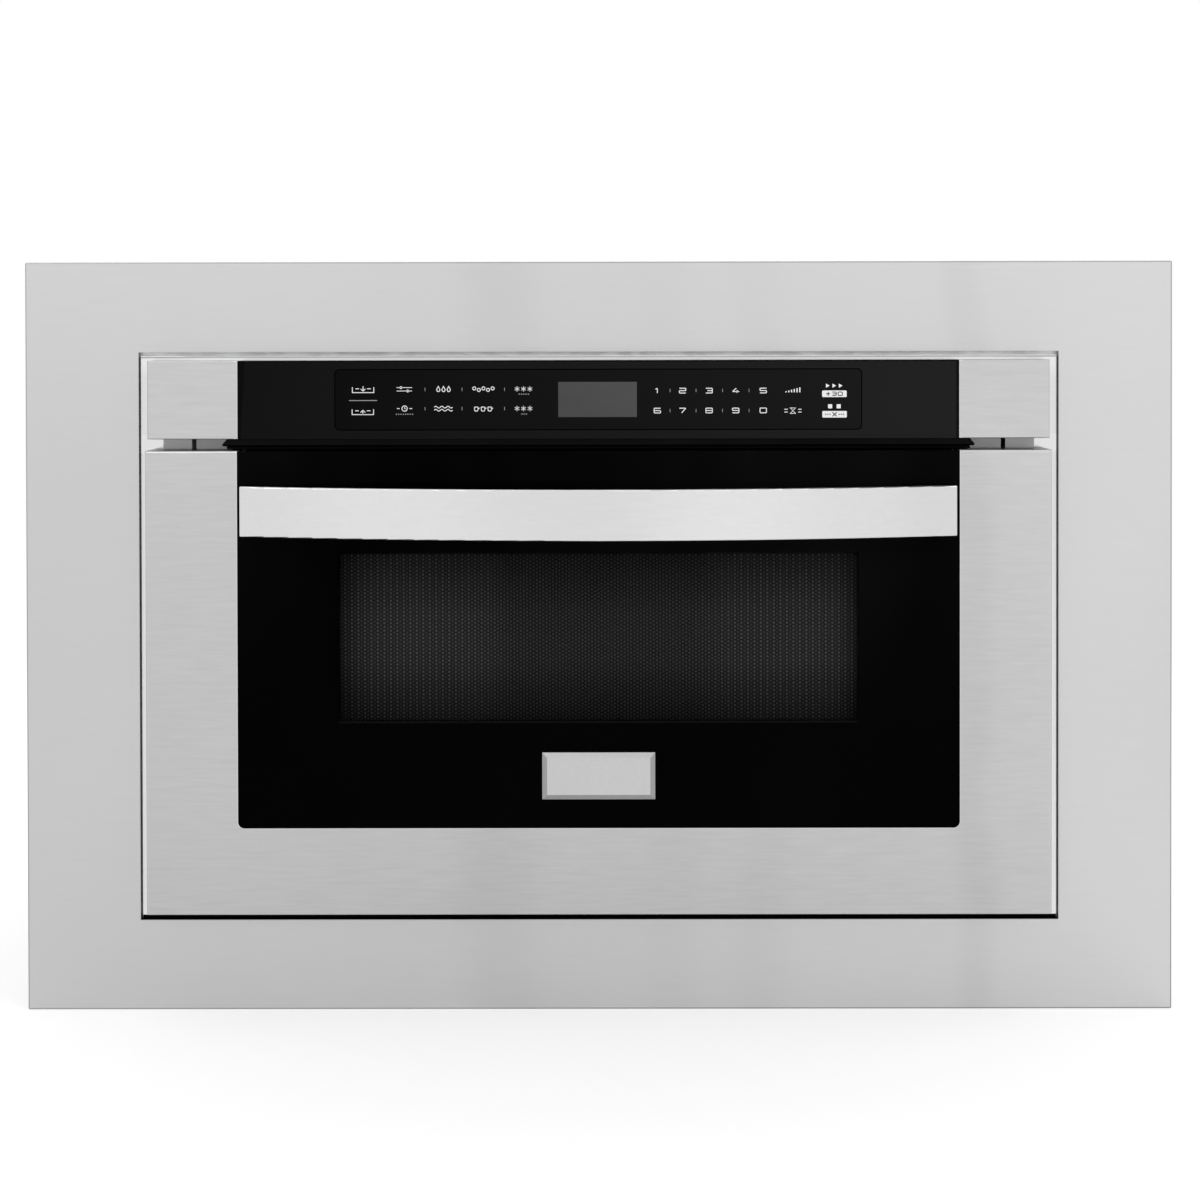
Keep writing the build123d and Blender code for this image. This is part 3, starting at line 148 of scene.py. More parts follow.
def cellsOn(tree, scale, **settings):
    values = {"Vector": patternSpace(tree, scale), "Scale": 1.0}
    return addNode(tree, "ShaderNodeTexVoronoi", values, **settings)


def bumpOf(tree, height, strength, depth):
    return resultOf(tree, "ShaderNodeBump", {"Height": height, "Strength": strength, "Distance": depth})


def edgeShare(tree, radius):
    # 1 on the edges that this radius would round, 0 on the faces
    rounded = resultOf(tree, "ShaderNodeBevel", {"Radius": radius}, samples=4)
    flat = addNode(tree, "ShaderNodeNewGeometry").outputs["Normal"]
    values = {0: rounded, 1: flat}
    dot = addNode(tree, "ShaderNodeVectorMath", values, operation="DOT_PRODUCT")
    return spread(tree, dot.outputs["Value"], 1.0, 0.0, 0.86, 0.999)


# a finish: draw works in the tree and names what its surface is fed with
surfaceSockets = dict(colour="Base Color", rough="Roughness", metal="Metallic", bump="Normal", index="IOR",
                      specular="Specular IOR Level", alpha="Alpha", coat="Coat Weight",
                      coatRough="Coat Roughness")


def finishOf(name, draw, look):
    material = bpy.data.materials.new(name)
    material.use_nodes = True
    tree = material.node_tree
    tree.nodes.clear()
    values = {surfaceSockets[key]: value for key, value in draw(tree, look).items()}
    body = resultOf(tree, "ShaderNodeBsdfPrincipled", values)
    addNode(tree, "ShaderNodeOutputMaterial", {"Surface": body})
    return material


# brushed stainless steel: hair lines, coarser streaks and clouds, with painted light: soft upright bands of
# reflection, a brighter top and side, lit or shaded edges and shaded folds
steelBase = dict(along=0, swing=0.05, drift=0.04, rise=0.0, lean=0.0, bands=(), fine=1800, stretch=22,
                 roughness=0.38, bump=0.05, edge=0.0010, edgeLift=0.12)
brush = dict(coarser=3.5, longer=2, wander=(3, 3, 9), bend=0.05, smoother=0.05, rougher=0.06, edgeShadeSoft=0.001,
             foldSoft=0.0008, relief=0.0001)


def brushedSteel(tree, look):
    x, y, z = placeOn(tree)
    fine = [look["fine"]] * 3
    fine[look["along"]] = look["fine"] / look["stretch"]
    coarse = [look["fine"] / brush["coarser"]] * 3
    coarse[look["along"]] = look["fine"] / look["stretch"] / brush["longer"]
    hair = noiseOn(tree, fine, 3.0, 0.6)
    tone = swung(tree, hair, look["swing"], look["tone"])
    tone = swung(tree, noiseOn(tree, coarse, 2.0, 0.5), look["swing"], tone)
    tone = swung(tree, noiseOn(tree, look["cloud"], 1.0), look["drift"], tone)
    # painted light: the steel grows brighter towards the top and to one side
    tone = calc(tree, "MULTIPLY_ADD", z, look["rise"], tone)
    tone = calc(tree, "MULTIPLY_ADD", x, look["lean"], tone)
    # painted reflections: soft upright bands, bent a little by a slow noise
    bent = swung(tree, noiseOn(tree, brush["wander"], 1.0), brush["bend"], x)
    for centre, width, depth in look["bands"]:
        away = distance(tree, bent, centre)
        tone = calc(tree, "ADD", tone, spread(tree, away, depth, 0.0, 0.0, width, "SMOOTHERSTEP"))
    # painted highlight along the edges (a negative lift paints shade), and painted shade on the outer edges
    # past a given reach
    lift = look["edgeLift"]
    if "darkFrom" in look:
        start = look["darkFrom"]
        lift = spread(tree, distance(tree, x), lift, look["darkLift"], start, start + brush["edgeShadeSoft"])
    tone = calc(tree, "MULTIPLY_ADD", edgeShare(tree, look["edge"]), lift, tone)
    # painted shade on the folded returns behind the front face
    if "foldFrom" in look:
        start = look["foldFrom"]
        tone = times(tree, tone, spread(tree, y, 1.0, look["foldTone"], start, start + brush["foldSoft"]))
    smooth, rough = look["roughness"] - brush["smoother"], look["roughness"] + brush["rougher"]
    return dict(colour=grey(tree, tone), rough=spread(tree, hair, smooth, rough, 0.3, 0.7), metal=1.0,
                bump=bumpOf(tree, hair, look["bump"], brush["relief"]))


paintedSoftReflections = ((-0.065, 0.045, -0.030), (-0.05, 0.24, -0.012), (0.045, 0.03, -0.012), (0.105, 0.03, -0.016),
             (0.245, 0.022, -0.03), (0.33, 0.10, 0.015))
paintedHandleReflections = ((-0.135, 0.11, 0.045), (0.085, 0.10, 0.06), (0.225, 0.05, -0.035))
drawerFrontLook = dict(steelBase, tone=0.548, swing=0.08, rise=0.31, lean=0.02, bands=paintedSoftReflections, fine=1500,
                       cloud=4.0, roughness=0.33, bump=0.10, edgeLift=0.31, darkFrom=0.2935, darkLift=-0.16,
                       foldFrom=-0.0338, foldTone=0.42)
cornerLook = dict(steelBase, tone=0.575, swing=0.08, rise=0.05, lean=0.02, fine=1500, cloud=6.0,
                  roughness=0.33, bump=0.10, edgeLift=0.30, darkFrom=0.238, darkLift=-0.30, foldFrom=-0.0258,
                  foldTone=0.5)
handleLook = dict(steelBase, tone=0.700, swing=0.045, drift=0.03, bands=paintedHandleReflections, fine=1700, stretch=30,
                  cloud=6.0, roughness=0.32, bump=0.08, edge=0.0008, edgeLift=0.05)
cavityLook = dict(steelBase, tone=0.54, drift=0.06, along=1, fine=1400, stretch=26, cloud=3.0, bump=0.08,
                  edge=0.0008)
slideLook = dict(steelBase, tone=0.58, drift=0.06, along=1, fine=1600, stretch=20, cloud=8, roughness=0.30,
                 bump=0.06, edge=0.0006)
shaftLook = dict(steelBase, tone=0.52, stretch=2, cloud=12, roughness=0.26, bump=0.04, edge=0.0005)

trimLook = dict(steelBase, tone=0.603, swing=0.024, drift=0.05, rise=0.18, lean=0.035, bands=paintedSoftReflections,
                stretch=30, cloud=4.5, roughness=0.36, edge=0.0011, edgeLift=-0.12, lipReach=0.31,
                lipSoft=0.001, lipTone=0.42, rim=0.0011, rimTone=0.68, rimDeep=0.44)


def trimSteel(tree, look):
    steel = brushedSteel(tree, look)
    x, y, z = placeOn(tree)
    reach = distance(tree, x)
    # painted shade: the folded lips inside the opening are darker than the face
    sideways = spread(tree, distance(tree, facingOf(tree)[0]), 0.0, 1.0, 0.5, 0.9)
    inside = spread(tree, reach, 1.0, 0.0, look["lipReach"], look["lipReach"] + look["lipSoft"])
    lip = spread(tree, times(tree, sideways, inside), 1.0, look["lipTone"])
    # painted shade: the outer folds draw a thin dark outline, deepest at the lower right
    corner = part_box("trim_frame")[1]
    rims = [spread(tree, away, 0.0, 1.0, edge - look["rim"], edge - look["rim"] / 2)
            for away, edge in ((reach, corner.x), (distance(tree, z), corner.z))]
    slope = calc(tree, "MULTIPLY_ADD", x, 1 / corner.x, times(tree, z, -1 / corner.z))
    rimTone = spread(tree, slope, look["rimTone"], look["rimDeep"], -2.0, 2.0)
    shade = times(tree, lip, spread(tree, calc(tree, "MAXIMUM", *rims), 1.0, rimTone))
    return dict(steel, colour=mixed(tree, 1.0, steel["colour"], shade, "MULTIPLY"))


badgeLook = dict(steelBase, tone=0.555, swing=0.07, drift=0.03, fine=2600, stretch=4, cloud=20, edge=0.0004,
                 edgeLift=0.10, sideTone=0.56, underTone=0.56, topTone=0.80)


def badgeMetal(tree, look):
    steel = brushedSteel(tree, look)
    side, front, up = facingOf(tree)
    # the bevels face forward, the rim doesn't
    sloped = calc(tree, "SUBTRACT", 1.0, spread(tree, front, 1.0, 0.0, -0.99, -0.95))
    bevel = times(tree, sloped, spread(tree, front, 1.0, 0.0, -0.9, -0.6))
    # painted light: bevels that face sideways or down are shaded, those that face up are lit
    shade = times(tree, spread(tree, distance(tree, side), 1.0, look["sideTone"], 0.2, 0.5),
                  spread(tree, up, look["underTone"], 1.0, -0.5, -0.2),
                  spread(tree, up, 1.0, look["topTone"], 0.2, 0.5))
    shade = mixed(tree, bevel, 1.0, shade)
    return dict(steel, colour=mixed(tree, 1.0, steel["colour"], shade, "MULTIPLY"))


flangeLook = dict(steelBase, tone=0.76, swing=0.03, drift=0.03, stretch=30, cloud=4.0, roughness=0.34,
                  edge=0.0006, edgeLift=0.05, paintHalf=0.2887, paintTop=0.150, paint=0.62, paintMetal=0.45,
                  topFrom=0.180, topLift=0.22, middleHalf=0.26, sideHalf=0.30, sideShare=0.3, rimFrom=0.1844,
                  rimTone=-0.42, notch=0.128, notchHalf=0.006, polish=0.3)


def flangeSteel(tree, look):
    steel = brushedSteel(tree, look)
    x, y, z = placeOn(tree)
    reach = distance(tree, x)
    # grey paint behind the drawer front
    inner = spread(tree, reach, 1.0, 0.0, look["paintHalf"] - 0.0002, look["paintHalf"] + 0.0002)
    paint = times(tree, inner, spread(tree, z, 1.0, 0.0, look["paintTop"], look["paintTop"] + 0.0005))
    # painted light and shade: the top strip is brighter in its middle, and dark at its upper rim
    strip = times(tree, spread(tree, z, 0.0, look["topLift"], look["topFrom"] - 0.01, look["topFrom"]),
                  spread(tree, reach, 1.0, look["sideShare"], look["middleHalf"], look["sideHalf"]))
    rim = spread(tree, z, 0.0, look["rimTone"], look["rimFrom"], look["rimFrom"] + 0.0003)
    lifted = resultOf(tree, "ShaderNodeSeparateColor", {0: steel["colour"]})
    lifted = calc(tree, "ADD", lifted, calc(tree, "ADD", strip, rim))
    # the strips beside the slot are polished
    away = distance(tree, z, look["notch"])
    polish = times(tree, spread(tree, away, 1.0, 0.0, look["notchHalf"] - 0.0005, look["notchHalf"] + 0.0005),
                   calc(tree, "SUBTRACT", 1.0, inner))
    return dict(steel, colour=mixed(tree, paint, grey(tree, lifted), look["paint"]),
                metal=spread(tree, paint, 1.0, look["paintMetal"]),
                rough=times(tree, steel["rough"], spread(tree, polish, 1.0, look["polish"])))


# galvanised and plated sheet: spangles, clouds and a painted highlight on the edges
sheetBase = dict(spangle=130, cloud=5, roughness=0.42, bump=0.05)
zincLook = dict(sheetBase, dark=(0.34, 0.345, 0.35), light=(0.47, 0.475, 0.48), bright=(0.66, 0.665, 0.67),
                bump=0.06)
backingLook = dict(sheetBase, dark=(0.74, 0.745, 0.745), light=(0.86, 0.865, 0.865), bright=0.9, bump=0.06)
magnetronLook = dict(sheetBase, dark=(0.46, 0.46, 0.45), light=(0.62, 0.62, 0.60), bright=(0.8, 0.8, 0.78),
                     spangle=300, cloud=20, roughness=0.36)
waveguideLook = dict(sheetBase, dark=(0.50, 0.51, 0.52), light=(0.64, 0.65, 0.66), bright=0.82, spangle=220,
                     cloud=9, roughness=0.34)
screwLook = dict(sheetBase, dark=(0.42, 0.42, 0.43), light=(0.58, 0.58, 0.60), bright=0.8, spangle=900,
                 cloud=60, roughness=0.30, bump=0.03)
canLook = dict(sheetBase, dark=(0.50, 0.50, 0.51), light=(0.60, 0.60, 0.61), bright=0.8, spangle=500,
               cloud=30, roughness=0.28, bump=0.03)


def sheetMetal(tree, look):
    spangle = cellsOn(tree, look["spangle"]).outputs["Color"]
    flake = resultOf(tree, "ShaderNodeSeparateColor", {0: spangle})
    fine = noiseOn(tree, look["spangle"] * 9, 2.0)
    share = times(tree, calc(tree, "ADD", flake, noiseOn(tree, look["cloud"], 3.0)), 0.5)
    # painted highlight on the edges
    paintedEdgeHighlight = times(tree, edgeShare(tree, 0.0008), 0.5)
    smooth, rough = look["roughness"] - 0.07, look["roughness"] + 0.08
    return dict(colour=mixed(tree, paintedEdgeHighlight, shaded(tree, share, look), look["bright"]), metal=1.0,
                rough=spread(tree, calc(tree, "ADD", flake, fine), smooth, rough, 0.3, 1.4),
                bump=bumpOf(tree, fine, look["bump"], 0.0002))


# moulded plastic, enamel and paint: grain, faint clouds and a painted highlight on the edges
mouldedBase = dict(grain=900, roughness=0.42, bump=0.06, specular=0.4, metallic=0.0, wear=0.35)
blackPlasticLook = dict(mouldedBase, dark=0.010, light=0.020, bright=0.05, grain=1100, roughness=0.45,
                        bump=0.12, specular=0.3)
blackSteelLook = dict(mouldedBase, dark=0.006, light=0.012, bright=0.03, roughness=0.5, bump=0.1,
                      specular=0.06, wear=0.2)
visorLook = dict(mouldedBase, dark=0.0022, light=0.0045, bright=0.006, grain=1100, roughness=0.5,
                 specular=0.03)
screenLook = dict(mouldedBase, dark=0.080, light=0.094, bright=0.11, grain=1200, roughness=0.6, bump=0.1,
                  specular=0.05)
enamelLook = dict(mouldedBase, dark=0.60, light=0.66, bright=0.72, grain=700, roughness=0.4, metallic=0.45)
nylonLook = dict(mouldedBase, dark=(0.62, 0.60, 0.54), light=(0.74, 0.72, 0.66), bright=(0.82, 0.8, 0.75),
                 grain=800, roughness=0.45)
motorLook = dict(mouldedBase, dark=(0.20, 0.21, 0.22), light=(0.29, 0.30, 0.31), bright=0.5, metallic=0.4)
switchLook = dict(mouldedBase, dark=(0.30, 0.03, 0.02), light=(0.42, 0.05, 0.035), bright=(0.6, 0.2, 0.15),
                  bump=0.05)
fanLook = dict(mouldedBase, dark=0.022, light=0.035, bright=0.10, roughness=0.48, bump=0.08)
moduleLook = dict(mouldedBase, dark=(0.10, 0.105, 0.11), light=(0.15, 0.155, 0.16), bright=0.3, grain=800,
                  roughness=0.5)
recessLook = dict(mouldedBase, dark=0.03, light=0.05, bright=0.08, grain=2000, roughness=0.6, bump=0.05)


def moulded(tree, look):
    grain = noiseOn(tree, look["grain"], 3.0)
    cloud = spread(tree, noiseOn(tree, look["grain"] / 60, 2.0), 0.0, 1.0, 0.3, 0.7)
    base = shaded(tree, cloud, look)
    base = mixed(tree, spread(tree, grain, 0.0, 0.35, 0.5, 0.75), base, look["light"])
    # painted highlight on the edges
    paintedEdgeHighlight = times(tree, edgeShare(tree, 0.0006), look["wear"])
    return dict(colour=mixed(tree, paintedEdgeHighlight, base, look["bright"]), specular=look["specular"],
                rough=spread(tree, grain, look["roughness"] - 0.06, look["roughness"] + 0.06),
                metal=look["metallic"], bump=bumpOf(tree, grain, look["bump"], 0.0002))


# black glass: a painted reflection that brightens it from left to right, clouds, dust and dark borders, each
# as turnX,
# turnZ and start: the border begins where turnX * x + turnZ * z passes the start
glossBase = dict(dust=0.002, specular=0.05, roughness=0.14, borders=())
controlLook = dict(glossBase, left=0.0030, right=0.0140, half=0.236, drift=0.004, cloud=(5, 5, 9),
                   dust=0.004, roughness=0.12, borders=((-1, 0.06, 0.2419), (1, 0, 0.2341), (0, 1, 0.1821)),
                   borderTone=0.12)
touchLook = dict(glossBase, left=0.0021, right=0.0088, half=0.172, drift=0.002, cloud=(7, 7, 12),
                 specular=0.04, roughness=0.16)
lensLook = dict(glossBase, left=0.077, right=0.087, half=0.026, drift=0.012, cloud=(60, 20, 90), dust=0.006)


def glossBlack(tree, look):
    x, y, z = placeOn(tree)
    # painted reflection: the glass grows brighter from left to right
    across = spread(tree, x, look["left"], look["right"], -look["half"], look["half"])
    tone = swung(tree, noiseOn(tree, look["cloud"], 2.0), look["drift"], across)
    tone = calc(tree, "ADD", tone, spread(tree, noiseOn(tree, 2600, 2.0), 0.0, look["dust"], 0.66, 0.8))
    for turnX, turnZ, start in look["borders"]:
        reach = calc(tree, "MULTIPLY_ADD", z, turnZ, times(tree, x, turnX))
        tone = times(tree, tone, spread(tree, reach, 1.0, look["borderTone"], start - 0.0003, start + 0.0003))
    rough = spread(tree, noiseOn(tree, 38, 3.0), look["roughness"], look["roughness"] + 0.06)
    return dict(colour=grey(tree, tone), rough=rough, specular=look["specular"], index=1.5)


# the door's glass: a window in the black, with two clearer patches of painted light, each as centre, half
# width and soft edge
doorLook = dict(glossBase, left=0.0005, right=0.0007, half=0.235, drift=0.0006, cloud=(6, 6, 9), dust=0.0008,
                specular=0.009, roughness=0.06, windowHalf=0.1692, windowLow=-0.0519, windowHigh=0.0578,
                ledge=-0.0525, ledgeHalf=0.0006, ledgeTone=0.0058,
                clear=0.592, clearest=0.650, patches=((-0.109, 0.030, 0.028), (0.117, 0.026, 0.034)),
                topFrom=0.016, topShade=0.86, lowFrom=-0.012, lowShade=0.76, sideFrom=0.156, sideShade=0.90,
                haze=0.0041, hazeLow=-0.06, hazeHigh=0.100)


def panel(tree, x, z, half, low, high, soft=0.0005):
    # 1 inside the rectangle, 0 outside it
    return times(tree, spread(tree, x, 1.0, 0.0, half - soft, half + soft),
                 spread(tree, z, 0.0, 1.0, low - soft, low + soft),
                 spread(tree, z, 1.0, 0.0, high - soft, high + soft))


def doorGlass(tree, look):
    glass = glossBlack(tree, look)
    place, y, z = placeOn(tree)
    x = distance(tree, place)
    half, low, high = (look[key] for key in ("windowHalf", "windowLow", "windowHigh"))
    # the view through the window dims to its edges
    window = times(tree, panel(tree, x, z, half, low, high),
                   spread(tree, x, 1.0, look["sideShade"], look["sideFrom"], half),
                   spread(tree, z, 1.0, look["topShade"], look["topFrom"], high),
                   spread(tree, z, look["lowShade"], 1.0, low, look["lowFrom"]))
    # painted light: two patches where the glass is clearer, so the screen behind looks brighter
    clear = look["clear"]
    for centre, width, soft in look["patches"]:
        away = distance(tree, place, centre)
        extra = spread(tree, away, look["clearest"] - look["clear"], 0.0, width, width + soft, "SMOOTHSTEP")
        clear = calc(tree, "ADD", clear, extra)
    # a painted sheen above the handle, and a painted highlight along the inner frame's edge below the window
    haze = times(tree, spread(tree, noiseOn(tree, (9, 9, 4), 2.0), 0.0, look["haze"], 0.35, 0.75),
                 spread(tree, z, 0.1, 1.0, look["hazeLow"], look["hazeHigh"]))
    ledge, reach = look["ledge"], look["ledgeHalf"]
    ledge = panel(tree, x, z, half, ledge - reach, ledge + reach, 0.0003)
    tone = mixed(tree, 1.0, glass["colour"], haze, "ADD")
    return dict(glass, colour=mixed(tree, ledge, tone, look["ledgeTone"]),
                alpha=calc(tree, "SUBTRACT", 1.0, times(tree, window, clear)))


paneLook = dict(dark=(0.02, 0.025, 0.022), light=(0.05, 0.06, 0.055), thin=0.12, thick=0.2)


def clearPane(tree, look):
    film = noiseOn(tree, 30, 3.0)
    return dict(colour=shaded(tree, film, look), alpha=spread(tree, film, look["thin"], look["thick"]),
                rough=0.03, index=1.5, specular=0.4)


trayLook = dict(dark=(0.66, 0.65, 0.62), light=(0.78, 0.77, 0.74), speck=(0.5, 0.49, 0.47))


def ceramic(tree, look):
    speck = noiseOn(tree, 1500, 2.0)
    cloud = noiseOn(tree, 12, 3.0)
    base = shaded(tree, cloud, look)
    return dict(colour=mixed(tree, spread(tree, speck, 0.0, 0.5, 0.62, 0.7), base, look["speck"]),
                rough=spread(tree, cloud, 0.10, 0.22), specular=0.5, coat=0.3, coatRough=0.05,
                bump=bumpOf(tree, speck, 0.03, 0.0001))


boardLook = dict(dark=(0.012, 0.09, 0.03), light=(0.02, 0.14, 0.05), track=(0.05, 0.26, 0.10))


def circuitBoard(tree, look):
    pads = cellsOn(tree, 240, distance="MANHATTAN", feature="F1").outputs["Distance"]
    values = {"Vector": patternSpace(tree, 300, turn=(math.pi / 2, 0, 0)), "Scale": 1.0, "Mortar Size": 0.09,
              "Color1": tinted(0), "Color2": tinted(0), "Mortar": tinted(1)}
    lines = addNode(tree, "ShaderNodeTexBrick", values).outputs["Fac"]
    track = calc(tree, "MULTIPLY", lines, spread(tree, pads, 1.0, 0.0, 0.3, 0.55), clamp=True)
    grain = noiseOn(tree, 400, 3.0)
    base = shaded(tree, grain, look)
    return dict(colour=mixed(tree, track, base, look["track"]), rough=spread(tree, grain, 0.28, 0.42),
                specular=0.5, bump=bumpOf(tree, track, 0.3, 0.0002))


ironLook = dict(dark=(0.10, 0.09, 0.085), light=(0.24, 0.22, 0.20), varnish=(0.20, 0.10, 0.05))


def laminatedIron(tree, look):
    values = {"Vector": patternSpace(tree), "Scale": 160.0, "Distortion": 0.4, "Detail": 1.0}
    layers = addNode(tree, "ShaderNodeTexWave", values, bands_direction="Y").outputs["Fac"]
    stain = noiseOn(tree, 60, 4.0)
    base = shaded(tree, layers, look)
    return dict(colour=mixed(tree, spread(tree, stain, 0.0, 0.7, 0.55, 0.75), base, look["varnish"]),
                rough=spread(tree, stain, 0.4, 0.6), metal=0.7, bump=bumpOf(tree, layers, 0.3, 0.0003))


sleeveLook = dict(dark=0.012, light=0.045, turn=(0.6, 0.4, 0.785))


def braidedSleeve(tree, look):
    strands = []
    for way in (1, -1):
        values = {"Vector": patternSpace(tree, turn=[way * angle for angle in look["turn"]]), "Scale": 260.0}
        strands.append(addNode(tree, "ShaderNodeTexWave", values).outputs["Fac"])
    weave = calc(tree, "MAXIMUM", *strands)
    return dict(colour=shaded(tree, weave, look), rough=spread(tree, weave, 0.65, 0.5), specular=0.3,
                bump=bumpOf(tree, weave, 0.4, 0.0004))


bulbLook = dict(dark=(0.62, 0.60, 0.52), light=(0.78, 0.76, 0.68))


def lampGlass(tree, look):
    film = noiseOn(tree, 160, 3.0)
    return dict(colour=shaded(tree, film, look), rough=spread(tree, film, 0.06, 0.16), specular=0.5)


# one finish for each slot of the record, and for the nodes that look unlike their slot
finishes = {
    "trim_steel": finishOf("satinTrimSteel", trimSteel, trimLook),
    "flange_steel": finishOf("brightFlangeSteel", flangeSteel, flangeLook),
    "front_steel": finishOf("brushedDrawerFront", brushedSteel, drawerFrontLook),
    "handle_steel": finishOf("brushedHandleSteel", brushedSteel, handleLook),
    "badge_metal": finishOf("satinBadgeMetal", badgeMetal, badgeLook),
    "cavity_steel": finishOf("cavitySteel", brushedSteel, cavityLook),
    "slide_steel": finishOf("slideSteel", brushedSteel, slideLook),
    "shaft_steel": finishOf("shaftSteel", brushedSteel, shaftLook),
    "zinc_sheet": finishOf("zincSheet", sheetMetal, zincLook),
    "magnetron_metal": finishOf("magnetronMetal", sheetMetal, magnetronLook),
    "waveguide_metal": finishOf("waveguideMetal", sheetMetal, waveguideLook),
    "screw_steel": finishOf("screwSteel", sheetMetal, screwLook),
    "capacitor_can": finishOf("capacitorCan", sheetMetal, canLook),
    "control_glass_black": finishOf("controlGlass", glossBlack, controlLook),
    "touch_film": finishOf("touchFilm", glossBlack, touchLook),
    "display_lens": finishOf("displayLens", glossBlack, lensLook),
    "door_glass_black": finishOf("doorGlass", doorGlass, doorLook),
    "clear_glass": finishOf("innerGlass", clearPane, paneLook),
    "tray_ceramic": finishOf("trayCeramic", ceramic, trayLook),
    "black_plastic": finishOf("blackPlastic", moulded, blackPlasticLook),
    "black_steel": finishOf("blackSteel", moulded, blackSteelLook),
    "grey_enamel": finishOf("greyEnamel", moulded, enamelLook),
    "nylon": finishOf("nylonGears", moulded, nylonLook),
    "motor_grey": finishOf("motorPaint", moulded, motorLook),
    "switch_plastic": finishOf("switchPlastic", moulded, switchLook),
    "fan_plastic": finishOf("fanPlastic", moulded, fanLook),
    "display_module_grey": finishOf("displayModule", moulded, moduleLook),
    "circuit_board": finishOf("circuitBoard", circuitBoard, boardLook),
    "transformer_iron": finishOf("laminatedIron", laminatedIron, ironLook),
    "loom_sleeve": finishOf("loomSleeve", braidedSleeve, sleeveLook),
    "lamp_glass": finishOf("lampGlass", lampGlass, bulbLook),
}
ownFinishes = {
    "corner_panel_left": finishOf("brushedCornerPanel", brushedSteel, cornerLook),
    "vent_visor": finishOf("visorPlastic", moulded, visorLook),
    "window_screen": finishOf("screenEnamel", moulded, screenLook),
    "trim_backing_plates": finishOf("brightZinc", sheetMetal, backingLook),
}
ownFinishes["corner_panel_right"] = ownFinishes["corner_panel_left"]
for part in frame["record"]["subparts"]:
    mesh = nodes[part["node"]].data
    mesh.materials.clear()
    mesh.materials.append(ownFinishes.get(part["node"]) or finishes[part["material_slot"]])


# small parts made in Blender
def finishPiece(name, mesh, body):
    piece = bpy.data.objects.new(name, mesh)
    bpy.context.scene.collection.objects.link(piece)
    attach(piece, body)


def meshFrom(shape, name, finish):
    mesh = bpy.data.meshes.new(name)
    shape.to_mesh(mesh)
    shape.free()
    mesh.materials.append(finish)
    return mesh


still = (0.0, 0.0, 0.0)


def beginTree(name, sizes):
    # a node group with one named input for each size
    tree = bpy.data.node_groups.new(name, "GeometryNodeTree")
    for way in ("INPUT", "OUTPUT"):
        tree.interface.new_socket("Geometry", in_out=way, socket_type="NodeSocketGeometry")
    kinds = {int: "NodeSocketInt", float: "NodeSocketFloat", tuple: "NodeSocketVector"}
    for label, value in sizes.items():
        socket = tree.interface.new_socket(label, in_out="INPUT", socket_type=kinds[type(value)])
        socket.default_value = value
    tree.interface.new_socket("Finish", in_out="INPUT", socket_type="NodeSocketMaterial")
    return tree, addNode(tree, "NodeGroupInput").outputs


def endTree(tree, source, geometry, smooth=False):
    solid = resultOf(tree, "GeometryNodeRealizeInstances", {0: geometry})
    shaded = resultOf(tree, "GeometryNodeSetShadeSmooth", {"Geometry": solid, "Shade Smooth": smooth})
    dressed = resultOf(tree, "GeometryNodeSetMaterial", {"Geometry": shaded, "Material": source["Finish"]})
    addNode(tree, "NodeGroupOutput", {0: dressed})
    return tree


def vectorOf(tree, x, y, z):
    return resultOf(tree, "ShaderNodeCombineXYZ", {0: x, 1: y, 2: z})


def repeated(tree, points, shape, **values):
    values = {"Points": points, "Instance": shape, **values}
    return resultOf(tree, "GeometryNodeInstanceOnPoints", values)


def rowOf(tree, source):
    values = {"Count": source["Count"], "Start Location": source["Start"], "Offset": source["Step"]}
    return resultOf(tree, "GeometryNodeMeshLine", values, mode="OFFSET")


def growPiece(name, tree, sizes, finish, body, places=()):
    seed = bpy.data.meshes.new(name + "Seed")
    seed.from_pydata(places, [], [])
    holder = bpy.data.objects.new(name + "Holder", seed)
    bpy.context.scene.collection.objects.link(holder)
    modifier = holder.modifiers.new("grow", "NODES")
    modifier.node_group = tree
    sizes = dict(sizes, Finish=finish)
    for item in tree.interface.items_tree:
        if item.in_out == "INPUT" and item.name in sizes:
            modifier[item.identifier] = sizes[item.name]
    evaluated = holder.evaluated_get(bpy.context.evaluated_depsgraph_get())
    mesh = bpy.data.meshes.new_from_object(evaluated)
    mesh.name = name
    bpy.data.objects.remove(holder)
    finishPiece(name, mesh, body)


# holes of the screen behind the glass: staggered columns, Spacing is their distance as a share of the pitch
screenHoles = dict(Columns=159, Rows=45, Pitch=0.00245, Spacing=0.866, Radius=0.00078, Sides=6)
holeLook = dict(dim=0.22, bright=0.31, stripe=0.32, inner=0.05, outer=0.10, proud=0.00003)


